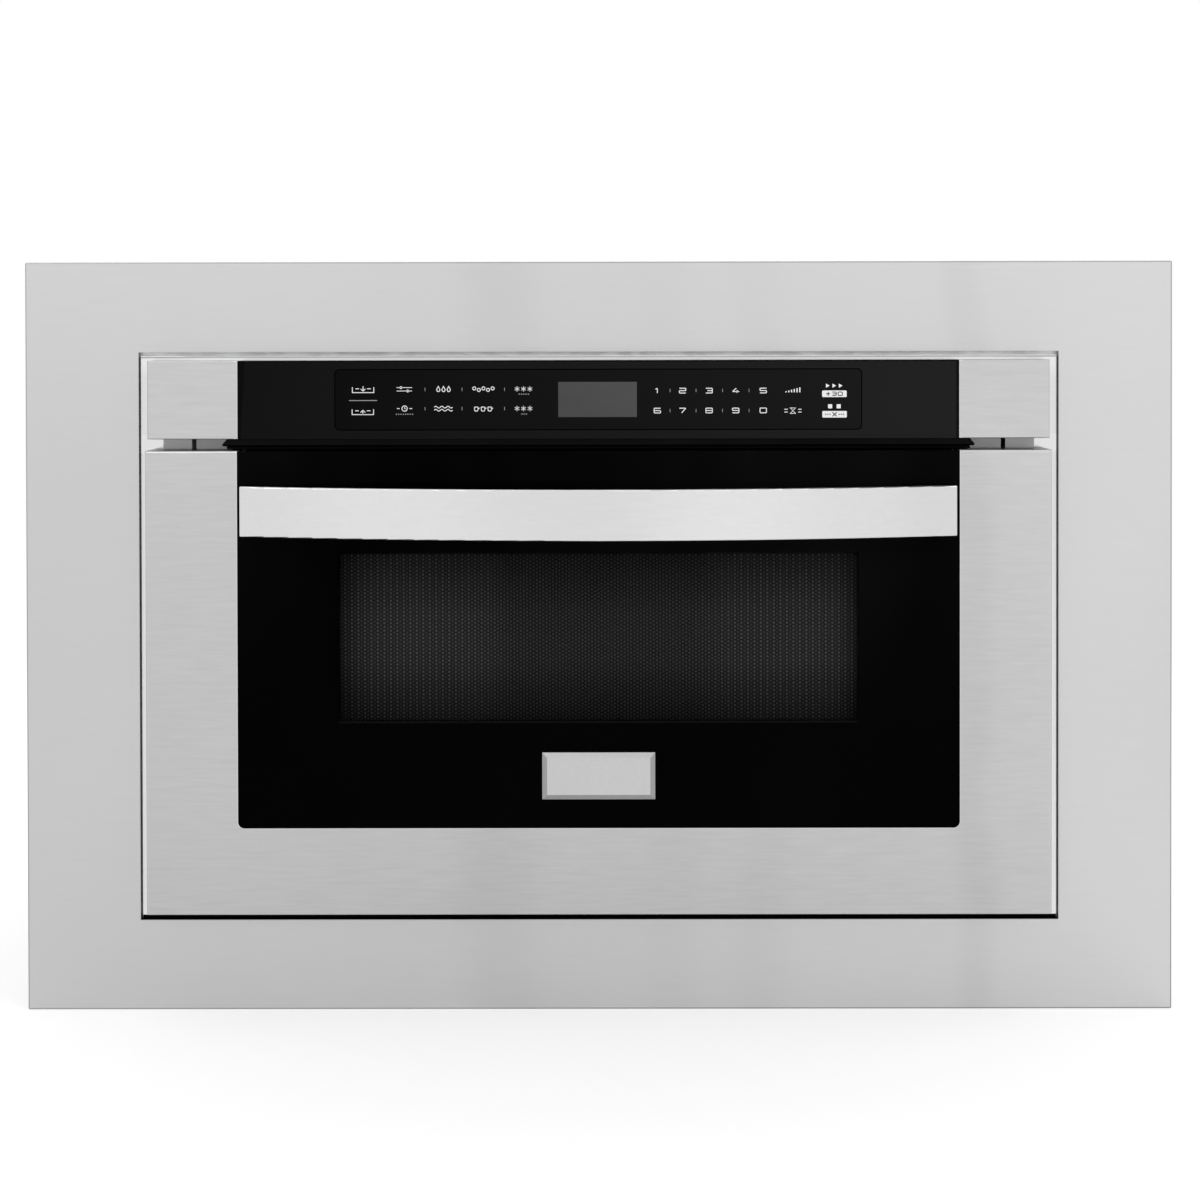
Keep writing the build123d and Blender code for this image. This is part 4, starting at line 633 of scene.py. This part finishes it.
def perforationTree(sizes):
    tree, source = beginTree("perforations", dict(sizes, Centre=still, Turn=still))
    rows, columns, pitch = (source[key] for key in ("Rows", "Columns", "Pitch"))
    index = resultOf(tree, "GeometryNodeInputIndex")
    column = calc(tree, "FLOOR", calc(tree, "DIVIDE", index, rows))
    row = calc(tree, "SUBTRACT", index, times(tree, column, rows))
    middle = times(tree, calc(tree, "SUBTRACT", columns, 1.0), 0.5)
    across = times(tree, calc(tree, "SUBTRACT", column, middle), times(tree, pitch, source["Spacing"]))
    lift = times(tree, calc(tree, "MODULO", column, 2.0), 0.5)
    half = times(tree, calc(tree, "SUBTRACT", rows, 0.5), 0.5)
    up = times(tree, calc(tree, "SUBTRACT", calc(tree, "ADD", row, lift), half), pitch)
    values = {"Count": times(tree, columns, rows), "Position": vectorOf(tree, across, 0.0, up)}
    points = resultOf(tree, "GeometryNodePoints", values)
    values = {"Vertices": source["Sides"], "Radius": source["Radius"]}
    hole = resultOf(tree, "GeometryNodeMeshCircle", values, fill_type="NGON")
    holes = repeated(tree, points, hole, Rotation=source["Turn"])
    values = {"Geometry": holes, "Translation": source["Centre"]}
    return endTree(tree, source, resultOf(tree, "GeometryNodeTransform", values))


def perforationFinish(tree, look):
    tone = spread(tree, noiseOn(tree, 700, 1.0), look["dim"], look["bright"], 0.3, 0.7)
    # every other column of holes catches a little more light towards the sides
    x = placeOn(tree)[0]
    twoColumns = 2 * screenHoles["Spacing"] * screenHoles["Pitch"]
    stripe = calc(tree, "COSINE", times(tree, x, 2 * math.pi / twoColumns))
    outward = spread(tree, distance(tree, x), 0.0, look["stripe"], look["inner"], look["outer"])
    tone = times(tree, tone, calc(tree, "ADD", times(tree, stripe, outward), 1.0))
    return dict(colour=grey(tree, tone), rough=0.6, specular=0.1)


def buildScreenHoles():
    low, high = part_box("window_screen")
    middle = (low + high) / 2
    tree = perforationTree(screenHoles)
    hole = finishOf("screenPerforation", perforationFinish, holeLook)
    front, back = low.y - holeLook["proud"], high.y + holeLook["proud"]
    for name, y, turn in (("screenHolesFront", front, math.pi / 2), ("screenHolesBack", back, -math.pi / 2)):
        sizes = dict(screenHoles, Centre=(middle.x, y, middle.z), Turn=(turn, 0.0, 0.0))
        growPiece(name, tree, sizes, hole, "drawer")


# black strips of painted shade, put in the gaps under the visor and along the trim's lower lip where they lie
# in shade: what each adds to its node's half width, and its depth and height from the node's front and bottom
shadeStripLook = dict(dark=0.003, light=0.008, fibre=2200, round=0.3)
shadeStripSizes = {
    "visorShadeStrip": dict(node="vent_visor", wider=-0.0025, depth=(0.0025, 0.0209), height=(-0.0018, 0.00005)),
    "visorShadeStripRear": dict(node="vent_visor", wider=-0.012, depth=(0.0189, 0.0209),
                          height=(-0.0058, -0.0019)),
    "lipShadeStrip": dict(node="front_flange", wider=0.0006, depth=(-0.0019, 0.0025), height=(-0.00288, -0.0026)),
    "lipShadeStripRear": dict(node="front_flange", wider=0.0006, depth=(0.0025, 0.0042),
                        height=(-0.00288, -0.0001)),
}


def shadeStripFinish(tree, look):
    fibre = noiseOn(tree, look["fibre"], 4.0, 0.7)
    return dict(colour=shaded(tree, fibre, look), rough=0.95, specular=0.02,
                bump=bumpOf(tree, fibre, 0.6, 0.0003))


def bevelledBlock(name, low, high, radius, finish):
    shape = bmesh.new()
    bmesh.ops.create_cube(shape, size=1.0)
    for vertex in shape.verts:
        vertex.co = Vector([a + (share + 0.5) * (b - a) for a, b, share in zip(low, high, vertex.co)])
    bmesh.ops.bevel(shape, geom=shape.edges[:], offset=radius, segments=2, profile=0.5, affect="EDGES")
    return meshFrom(shape, name, finish)


def buildShadeStrips():
    shadeStrips = finishOf("paintedShadeStrip", shadeStripFinish, shadeStripLook)
    for name, strip in shadeStripSizes.items():
        corner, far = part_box(strip["node"])
        low = (corner.x - strip["wider"], corner.y + strip["depth"][0], corner.z + strip["height"][0])
        high = (far.x + strip["wider"], corner.y + strip["depth"][1], corner.z + strip["height"][1])
        thin = min(b - a for a, b in zip(low, high))
        mesh = bevelledBlock(name, low, high, thin * shadeStripLook["round"], shadeStrips)
        finishPiece(name, mesh, "case")


# rows of spot welds on the case: flattened balls, half sunk into the sheet
caseSide, caseTop = (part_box("case_cover")[1][axis] for axis in (0, 2))
weldSize = dict(Radius=0.0032, thin=0.12)
weldRows = {
    "weldsTop": dict(Count=9, Start=(-0.252, 0.012, caseTop), Step=(0.063, 0.0, 0.0)),
    "weldsTopRear": dict(Count=7, Start=(-0.231, 0.565, caseTop), Step=(0.077, 0.0, 0.0)),
    "weldsRightFront": dict(Count=6, Start=(caseSide, 0.012, -0.150), Step=(0.0, 0.0, 0.060)),
    "weldsLeftFront": dict(Count=6, Start=(-caseSide, 0.012, -0.150), Step=(0.0, 0.0, 0.060)),
    "weldsRightLow": dict(Count=9, Start=(caseSide, 0.040, -0.176), Step=(0.0, 0.063, 0.0)),
    "weldsLeftLow": dict(Count=9, Start=(-caseSide, 0.040, -0.176), Step=(0.0, 0.063, 0.0)),
}


def studTree():
    tree, source = beginTree("studRow", dict(Count=1, Start=still, Step=still, Radius=0.0, Flat=still))
    values = {"Segments": 16, "Rings": 8, "Radius": source["Radius"]}
    ball = resultOf(tree, "GeometryNodeMeshUVSphere", values)
    return endTree(tree, source, repeated(tree, rowOf(tree, source), ball, Scale=source["Flat"]), True)


def buildWelds():
    tree = studTree()
    for name, row in weldRows.items():
        flat = (1.0, 1.0, weldSize["thin"]) if "Top" in name else (weldSize["thin"], 1.0, 1.0)
        sizes = dict(row, Radius=weldSize["Radius"], Flat=flat)
        growPiece(name, tree, sizes, finishes["zinc_sheet"], "case")


# stiffening beads pressed into the case's sheets
beadSize = dict(Length=0.40, Width=0.012, Height=0.0012)
beadRows = {
    "beadsTop": dict(Count=4, Start=(-0.18, 0.29, caseTop), Step=(0.12, 0.0, 0.0), turn=0.0),
    "beadsRight": dict(Count=2, Start=(caseSide, 0.29, -0.075), Step=(0.0, 0.0, 0.15), turn=math.pi / 2),
    "beadsLeft": dict(Count=2, Start=(-caseSide, 0.29, -0.075), Step=(0.0, 0.0, 0.15), turn=-math.pi / 2),
}


def beadTree(sizes):
    tree, source = beginTree("pressedBeads", dict(sizes, Count=1, Start=still, Step=still, Turn=still))
    half, radius = (times(tree, source[key], 0.5) for key in ("Length", "Width"))
    ends = [vectorOf(tree, 0.0, y, 0.0) for y in (times(tree, half, -1.0), half)]
    spine = resultOf(tree, "GeometryNodeCurvePrimitiveLine", {"Start": ends[0], "End": ends[1]})
    profile = resultOf(tree, "GeometryNodeCurvePrimitiveCircle", {"Resolution": 20, "Radius": radius})
    tube = resultOf(tree, "GeometryNodeCurveToMesh", {"Curve": spine, "Profile Curve": profile})
    ball = resultOf(tree, "GeometryNodeMeshUVSphere", {"Segments": 20, "Rings": 10, "Radius": radius})
    joined = addNode(tree, "GeometryNodeJoinGeometry", {0: tube})
    for end in ends:
        cap = resultOf(tree, "GeometryNodeTransform", {"Geometry": ball, "Translation": end})
        tree.links.new(cap, joined.inputs[0])
    squeeze = vectorOf(tree, 1.0, 1.0, calc(tree, "DIVIDE", source["Height"], radius))
    bead = resultOf(tree, "GeometryNodeTransform", {"Geometry": joined.outputs[0], "Scale": squeeze})
    return endTree(tree, source, repeated(tree, rowOf(tree, source), bead, Rotation=source["Turn"]), True)


def buildBeads():
    tree = beadTree(beadSize)
    for name, row in beadRows.items():
        sizes = dict(row, **beadSize, Turn=(0.0, row["turn"], 0.0))
        growPiece(name, tree, sizes, finishes["zinc_sheet"], "case")


# cross recesses in the screw heads, which face the back
crossSize = dict(Length=0.0042, Width=0.0009, Depth=0.0003)
crossSets = {
    "caseScrewCrosses": dict(node="case_screws", body="case", turn=0.4),
    "handleScrewCrosses": dict(node="handle_screws", body="drawer", turn=0.7),
}


def islandBoxes(nodeName):
    # the boxes of a node's separate solids, from its own mesh
    shape = bmesh.new()
    shape.from_mesh(nodes[nodeName].data)
    bmesh.ops.remove_doubles(shape, verts=shape.verts, dist=0.00001)
    left = set(shape.verts)
    boxes = []
    while left:
        queue = [left.pop()]
        island = []
        while queue:
            here = queue.pop()
            island.append(here.co)
            near = {edge.other_vert(here) for edge in here.link_edges} & left
            left -= near
            queue += near
        boxes.append([[pick(co[axis] for co in island) for axis in range(3)] for pick in (min, max)])
    shape.free()
    return sorted(boxes)


def crossTree(sizes):
    tree, source = beginTree("crossRecess", dict(sizes, Turn=still))
    joined = addNode(tree, "GeometryNodeMeshBoolean", operation="UNION")
    for along, across in (("Length", "Width"), ("Width", "Length")):
        size = vectorOf(tree, source[along], source[across], source["Depth"])
        tree.links.new(resultOf(tree, "GeometryNodeMeshCube", {"Size": size}), joined.inputs[1])
    crosses = repeated(tree, source["Geometry"], joined.outputs[0], Rotation=source["Turn"])
    return endTree(tree, source, crosses)


def buildCrosses():
    recess = finishOf("recessShade", moulded, recessLook)
    tree = crossTree(crossSize)
    for name, crosses in crossSets.items():
        boxes = islandBoxes(crosses["node"])
        places = [((low[0] + high[0]) / 2, high[1], (low[2] + high[2]) / 2) for low, high in boxes]
        sizes = dict(crossSize, Turn=(math.pi / 2, crosses["turn"], 0.0))
        growPiece(name, tree, sizes, recess, crosses["body"], places)


# marks on the touch glass: plain numbers and pictograms, in millimetres on the glass
digitLines = {
    "0": [[(0, 0), (1, 0), (1, 1), (0, 1), (0, 0)]],
    "1": [[(0.2, 0.8), (0.5, 1), (0.5, 0)]],
    "2": [[(0, 1), (1, 1), (1, 0.5), (0, 0.5), (0, 0), (1, 0)]],
    "3": [[(0, 1), (1, 1), (1, 0), (0, 0)], [(0.25, 0.5), (0.95, 0.5)]],
    "4": [[(0.6, 1), (0, 0.3), (1.05, 0.3)], [(0.72, 0.6), (0.72, 0)]],
    "5": [[(1, 1), (0, 1), (0, 0.5), (1, 0.5), (1, 0), (0, 0)]],
    "6": [[(1, 1), (0, 1), (0, 0), (1, 0), (1, 0.5), (0.05, 0.5)]],
    "7": [[(0, 1), (1, 1), (0.35, 0)]],
    "8": [[(0, 0), (1, 0), (1, 1), (0, 1), (0, 0)], [(0.05, 0.5), (0.95, 0.5)]],
    "9": [[(0, 0), (1, 0), (1, 1), (0, 1), (0, 0.5), (0.95, 0.5)]],
}


def softened(points, cut):
    # the same line with its corners cut off
    closed = points[0] == points[-1]
    ring = points[:-1] if closed else points
    result = []
    for index, point in enumerate(ring):
        if not closed and index in (0, len(ring) - 1):
            result.append(point)
            continue
        here = Vector(point)
        for other in (ring[index - 1], ring[(index + 1) % len(ring)]):
            step = Vector(other) - here
            result.append(tuple(here + step.normalized() * min(cut, step.length * 0.45)))
    if closed:
        result.append(result[0])
    return result


def addStroke(faces, points, width):
    # a strip of even width along a line of points, mitred at its corners
    closed = points[0] == points[-1]
    line = [Vector(point) for point in (points[:-1] if closed else points)]
    count = len(line)
    sides = []
    for index, here in enumerate(line):
        before = line[index - 1] if closed or index else None
        after = line[(index + 1) % count] if closed or index < count - 1 else None
        first = (here - before).normalized() if before is not None else (after - here).normalized()
        second = (after - here).normalized() if after is not None else first
        across = Vector((-(first.y + second.y), first.x + second.x)).normalized()
        reach = width / 2 / max(0.5, across.dot(Vector((-first.y, first.x))))
        sides.append((here + across * reach, here - across * reach))
    for index in range(count if closed else count - 1):
        a, b = sides[index]
        d, c = sides[(index + 1) % count]
        faces.append([a, b, c, d])


def drawAt(faces, x, z, width, *lines):
    for line in lines:
        addStroke(faces, [(x + p, z + q) for p, q in line], width)


def circleOf(centre, radius, steps):
    angles = [2 * math.pi * index / steps for index in range(steps)]
    return [(centre[0] + radius * math.cos(angle), centre[1] + radius * math.sin(angle)) for angle in angles]


def addRing(faces, centre, radius, width, steps=16):
    points = circleOf(centre, radius, steps)
    addStroke(faces, points + points[:1], width)


def addDisc(faces, centre, radius, steps=12):
    faces.append([Vector(point) for point in circleOf(centre, radius, steps)])


def addNumber(faces, text, x, z, width, height, stroke):
    gap = markSheet["gap"]
    left = x - (len(text) * (width + gap) - gap) / 2
    for digit in text:
        for line in digitLines[digit]:
            points = [(left + p * width, z + (q - 0.5) * height) for p, q in line]
            addStroke(faces, softened(points, markSheet["round"]), stroke)
        left += width + gap


def dotRow(faces, x, z, count, pitch=1.5):
    for index in range(count):
        addDisc(faces, (x + (index - (count - 1) / 2) * pitch, z), markSheet["dot"], 8)


def roundedPlate(faces, x, z, width, height, cut):
    a, b = width / 2, height / 2
    corners = ((cut - a, -b), (a - cut, -b), (a, cut - b), (a, b - cut),
               (a - cut, b), (cut - a, b), (-a, b - cut), (-a, cut - b))
    faces.append([Vector((x + p, z + q)) for p, q in corners])


def closeMark(faces, x, z, w, way=-1):
    drawAt(faces, x, z, w, ((-7, 1.6), (-7, -1.9), (7, -1.9), (7, 1.6)), ((0, 2.2 * way), (0, -0.6 * way)),
           ((-1.5, 0.5 * way), (0, -0.9 * way), (1.5, 0.5 * way)),
           ((-5, 0.6), (-2.6, 0.6)), ((2.6, 0.6), (5, 0.6)))


def openMark(faces, x, z, w):
    closeMark(faces, x, z, w, 1)


def settingsMark(faces, x, z, w):
    for level, knob in ((1.1, -2.2), (-1.1, 2.2)):
        drawAt(faces, x, z, w * 0.8, ((-5, level), (5, level)))
        addDisc(faces, (x + knob, z + level), 0.9)


def dropMark(faces, x, z, w):
    drop = ((0, 1.9), (1.1, -0.3), (0.7, -1.3), (0, -1.6), (-0.7, -1.3), (-1.1, -0.3), (0, 1.9))
    for step in (-3.4, 0, 3.4):
        drawAt(faces, x + step, z, w, drop)


def kernelMark(faces, x, z, w):
    for index in range(5):
        addRing(faces, (x + 3 * (index - 2), z + 0.5 * (-1) ** index), 1.05, w, 10)


def frostMark(faces, x, z, w):
    for step in (-4.2, 0, 4.2):
        for turn in (90, 150, 210):
            p, q = 1.7 * math.cos(math.radians(turn)), 1.7 * math.sin(math.radians(turn))
            drawAt(faces, x + step, z, w * 0.8, ((-p, -q), (p, q)))


def clockMark(faces, x, z, w):
    addRing(faces, (x, z), 1.75, w)
    drawAt(faces, x, z, w * 0.8, ((0, 1.1), (0, 0), (0.9, 0)))
    drawAt(faces, x, z, w, ((-3.2, 0), (-5.0, 0)), ((3.2, 0), (5.0, 0)))


def waveMark(faces, x, z, w):
    for level in (-1.0, 1.0):
        drawAt(faces, x, z, w, [(0.5 * i - 6, level + 0.6 * math.sin(i * math.pi / 4)) for i in range(25)])


def cupMark(faces, x, z, w):
    cup = softened([(-1.2, 1.0), (-1.0, -1.6), (1.0, -1.6), (1.2, 1.0), (-1.2, 1.0)], 0.3)
    for step in (-4.4, 0.0, 4.4):
        drawAt(faces, x + step, z, w, cup)
        drawAt(faces, x + step, z, w * 0.8, ((1.2, 0.5), (2.0, 0.3), (1.1, -0.6)))


def powerMark(faces, x, z, w):
    for index in range(6):
        step = 1.8 * index - 4.6
        drawAt(faces, x, z, w * 1.5, ((step, -1.6), (step, 0.5 * index - 0.9)))


def timerMark(faces, x, z, w):
    drawAt(faces, x, z, w * 0.9, ((-1.7, 1.8), (1.7, 1.8), (-1.7, -1.8), (1.7, -1.8), (-1.7, 1.8)))
    for side in (-1, 1):
        drawAt(faces, x, z, w, *(((side * 3.4, level), (side * 5.6, level)) for level in (0.9, -0.9)))


def startKey(faces, dark, x, z):
    # three triangles above a plate with +30
    for step in (-4.5, -0.3, 3.9):
        corners = ((step - 1.0, 3.9), (step + 1.4, 5.3), (step - 1.0, 6.7))
        faces.append([Vector((x + p, z + q)) for p, q in corners])
    roundedPlate(faces, x, z, 16.0, 4.3, 0.4)
    drawAt(dark, x - 4.1, z, 0.6, ((-1.3, 0), (1.3, 0)), ((0, -1.3), (0, 1.3)))
    addNumber(dark, "30", x + 1.8, z, 2.8, 2.3, 0.55)


def stopKey(faces, dark, x, z):
    # two squares above a plate with a cross between dots
    for step in (-2.9, 2.7):
        roundedPlate(faces, x + step, z + 5.2, 2.7, 2.7, 0.2)
    roundedPlate(faces, x, z, 16.0, 4.3, 0.4)
    for side in (-1, 1):
        drawAt(dark, x, z, 0.6, ((-1.4, -1.3 * side), (1.4, 1.3 * side)))
        dotRow(dark, x + side * 4.4, z, 3, 1.4)


markSheet = {
    "thick": 0.00003, "inset": 0.2, "rounds": (1.8, 0.7), "outline": 0.6, "stroke": 0.5,
    "digit": (4.2, 3.1), "digitStroke": 0.56, "gap": 1.2, "round": 0.35, "dot": 0.42,
    "keyColumns": (38.7, 55.2, 72.5, 89.9, 107.9), "keyRows": (163.0, 150.0),
    "startKey": (154.4, 160.8), "stopKey": (154.5, 147.4),
    "marks": ((openMark, -153.7, 164.0), (closeMark, -153.9, 149.6), (settingsMark, -126.7, 164.2),
              (clockMark, -126.6, 151.6), (dropMark, -101.1, 164.2), (waveMark, -101.2, 151.5),
              (kernelMark, -75.0, 164.2), (cupMark, -75.3, 151.5), (frostMark, -48.8, 164.3),
              (frostMark, -48.8, 151.5), (powerMark, 127.4, 163.4), (timerMark, 127.3, 149.8)),
    "dots": ((-126.7, 147.9, 8), (-48.6, 160.9, 5), (-48.4, 147.9, 3)),
    "between": ((-162.9, 156.9), (-144.6, 156.9)),
    "dividers": (((-113.2, -89.0, -61.2), (164.1, 151.5)), ((47.0, 64.0, 81.3, 98.6), (163.1, 150.0))),
    "dividerHalf": 1.1, "dividerStroke": 0.32,
}
inkLooks = {
    "touchOutline": dict(ink="outlineInk", dark=0.0004, light=0.0008, specular=0.0, layer=1),
    "touchMarks": dict(ink="markInk", dark=0.92, light=0.98, specular=0.1, layer=1),
    "faintMarks": dict(ink="faintInk", dark=0.34, light=0.42, specular=0.1, layer=1),
    "plateMarks": dict(ink="plateInk", dark=0.03, light=0.05, specular=0.1, layer=2),
}


def inkFinish(tree, look):
    speckle = noiseOn(tree, 2400, 2.0)
    return dict(colour=shaded(tree, speckle, look), rough=spread(tree, speckle, 0.45, 0.6),
                specular=look["specular"])


def drawMarks(look, low, high):
    outline, marks, faint, dark = ([] for name in inkLooks)
    ring = [(low.x, low.z), (high.x, low.z), (high.x, high.z), (low.x, high.z), (low.x, low.z)]
    for cut in look["rounds"]:
        ring = softened(ring, cut)
    addStroke(outline, ring, look["outline"])
    for draw, x, z in look["marks"]:
        draw(marks, x, z, look["stroke"])
    for column, x in enumerate(look["keyColumns"]):
        for row, z in enumerate(look["keyRows"]):
            addNumber(marks, str((column + 1 + 5 * row) % 10), x, z, *look["digit"], look["digitStroke"])
    addStroke(faint, look["between"], look["stroke"])
    for x, z, count in look["dots"]:
        dotRow(faint, x, z, count)
    half = look["dividerHalf"]
    for columns, rows in look["dividers"]:
        for x, z in ((x, z) for x in columns for z in rows):
            addStroke(faint, [(x, z - half), (x, z + half)], look["dividerStroke"])
    startKey(marks, dark, *look["startKey"])
    stopKey(marks, dark, *look["stopKey"])
    return dict(zip(inkLooks, (outline, marks, faint, dark)))


def sheetFrom(name, faces, front, sheet, finish):
    # flat polygons in millimetres become thin closed plates on the glass
    shape = bmesh.new()
    for outline in faces:
        area = sum(p.x * q.y - q.x * p.y for p, q in zip(outline, outline[1:] + outline[:1]))
        if area < 0:
            outline = outline[::-1]
        fore, rear = ([shape.verts.new((p.x / 1000, y, p.y / 1000)) for p in outline]
                      for y in (front, front + sheet))
        shape.faces.new(fore)
        shape.faces.new(rear[::-1])
        for i in range(len(fore)):
            j = (i + 1) % len(fore)
            shape.faces.new((fore[j], fore[i], rear[i], rear[j]))
    bmesh.ops.recalc_face_normals(shape, faces=shape.faces)
    return meshFrom(shape, name, finish)


def buildMarks(look):
    low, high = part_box("touch_membrane")
    inset = Vector((look["inset"], 0.0, look["inset"]))
    drawn = drawMarks(look, low * 1000 + inset, high * 1000 - inset)
    for name, ink in inkLooks.items():
        front = low.y - ink["layer"] * look["thick"]
        finish = finishOf(ink["ink"], inkFinish, ink)
        mesh = sheetFrom(name, drawn[name], front, look["thick"], finish)
        finishPiece(name, mesh, "case")


buildScreenHoles()
print("perforated screen grown")
buildShadeStrips()
buildWelds()
buildBeads()
print("felt, spot welds and pressed beads placed")
buildCrosses()
print("cross recesses cut in the screw heads")
buildMarks(markSheet)
print("numbers and pictograms laid on the touch glass")


# studio
cameraLook = dict(place=(0.0118, -1.508, 0.2010), lens=67.995, sensor=36.0, shift=(-0.0081, -0.2009),
                  near=0.05, far=60.0, down=0.664, yaw=0.162, roll=-0.104)


def buildCamera(look):
    data = bpy.data.cameras.new("photoCamera")
    data.lens = look["lens"]
    data.sensor_width = look["sensor"]
    data.sensor_fit = "HORIZONTAL"
    data.shift_x, data.shift_y = look["shift"]
    data.clip_start = look["near"]
    data.clip_end = look["far"]
    camera = bpy.data.objects.new("photoCamera", data)
    camera.matrix_world = Matrix.Translation(look["place"])
    for angle, axis in ((look["yaw"], "Z"), (90 - look["down"], "X"), (look["roll"], "Z")):
        camera.matrix_world = camera.matrix_world @ Matrix.Rotation(math.radians(angle), 4, axis)
    bpy.context.scene.collection.objects.link(camera)
    bpy.context.scene.camera = camera


def directlySeen(tree):
    # 1 for what the camera sees, also in a reflection or through glass
    rays = addNode(tree, "ShaderNodeLightPath").outputs
    seen = calc(tree, "ADD", rays["Is Camera Ray"], rays["Is Glossy Ray"])
    return calc(tree, "ADD", seen, rays["Is Transmission Ray"], clamp=True)


worldLook = dict(soft=0.74)


def buildWorld(look):
    world = bpy.data.worlds.new("softStudio")
    world.use_nodes = True
    tree = world.node_tree
    tree.nodes.clear()
    strength = spread(tree, directlySeen(tree), look["soft"], 1.0)
    sky = resultOf(tree, "ShaderNodeBackground", {"Color": tinted(1.0), "Strength": strength})
    addNode(tree, "ShaderNodeOutputWorld", {"Surface": sky})
    bpy.context.scene.world = world


lampAim = (0, 0.1, 0)
lampLook = {
    "keyLamp": dict(place=(-1.5, -2.4, 2.1), size=(1.8, 1.2), power=17.0),
    "fillLamp": dict(place=(1.9, -2.0, 1.5), size=(1.6, 1.2), power=10.0),
    "backLamp": dict(place=(0.6, 2.4, 2.2), size=(2.0, 1.2), power=22.0),
}


def buildLamps(looks, target):
    for name, look in looks.items():
        data = bpy.data.lights.new(name, "AREA")
        data.shape = "RECTANGLE"
        data.size, data.size_y = look["size"]
        data.energy = look["power"]
        lamp = bpy.data.objects.new(name, data)
        aim = Vector(target) - Vector(look["place"])
        lamp.location = look["place"]
        lamp.rotation_euler = aim.to_track_quat("-Z", "Y").to_euler()
        bpy.context.scene.collection.objects.link(lamp)


# a pale floor that fades into the white of the world
floorLook = dict(half=7.0, paint=0.84, glow=0.36, centre=0.2, fadeFrom=0.55, fadeTo=1.7)


def floorFinish(name, look, level):
    material = bpy.data.materials.new(name)
    material.use_nodes = True
    tree = material.node_tree
    tree.nodes.clear()
    seen = directlySeen(tree)
    spot = {0: patternSpace(tree, 1.0, (0, look["centre"], level))}
    away = addNode(tree, "ShaderNodeVectorMath", spot, operation="LENGTH").outputs["Value"]
    fade = times(tree, seen, spread(tree, away, 0.0, 1.0, look["fadeFrom"], look["fadeTo"]))
    paint = resultOf(tree, "ShaderNodeBsdfDiffuse", {"Color": tinted(look["paint"])})
    values = {"Color": tinted(1.0), "Strength": times(tree, seen, look["glow"])}
    near = resultOf(tree, "ShaderNodeAddShader", {0: paint, 1: resultOf(tree, "ShaderNodeEmission", values)})
    white = resultOf(tree, "ShaderNodeEmission", {"Color": tinted(1.0), "Strength": 1.0})
    blend = resultOf(tree, "ShaderNodeMixShader", {0: fade, 1: near, 2: white})
    addNode(tree, "ShaderNodeOutputMaterial", {"Surface": blend})
    return material


def buildFloor(look, level):
    half = look["half"]
    mesh = bpy.data.meshes.new("studioFloor")
    corners = [(-half, -half, level), (half, -half, level), (half, half, level), (-half, half, level)]
    mesh.from_pydata(corners, [], [(0, 1, 2, 3)])
    mesh.materials.append(floorFinish("paleFloor", look, level))
    floor = bpy.data.objects.new("studioFloor", mesh)
    bpy.context.scene.collection.objects.link(floor)


bpy.context.scene.view_settings.view_transform = "Standard"
buildCamera(cameraLook)
buildWorld(worldLook)
buildLamps(lampLook, lampAim)
buildFloor(floorLook, cadBox[0][2])
print("camera, floor, world and lamps set")
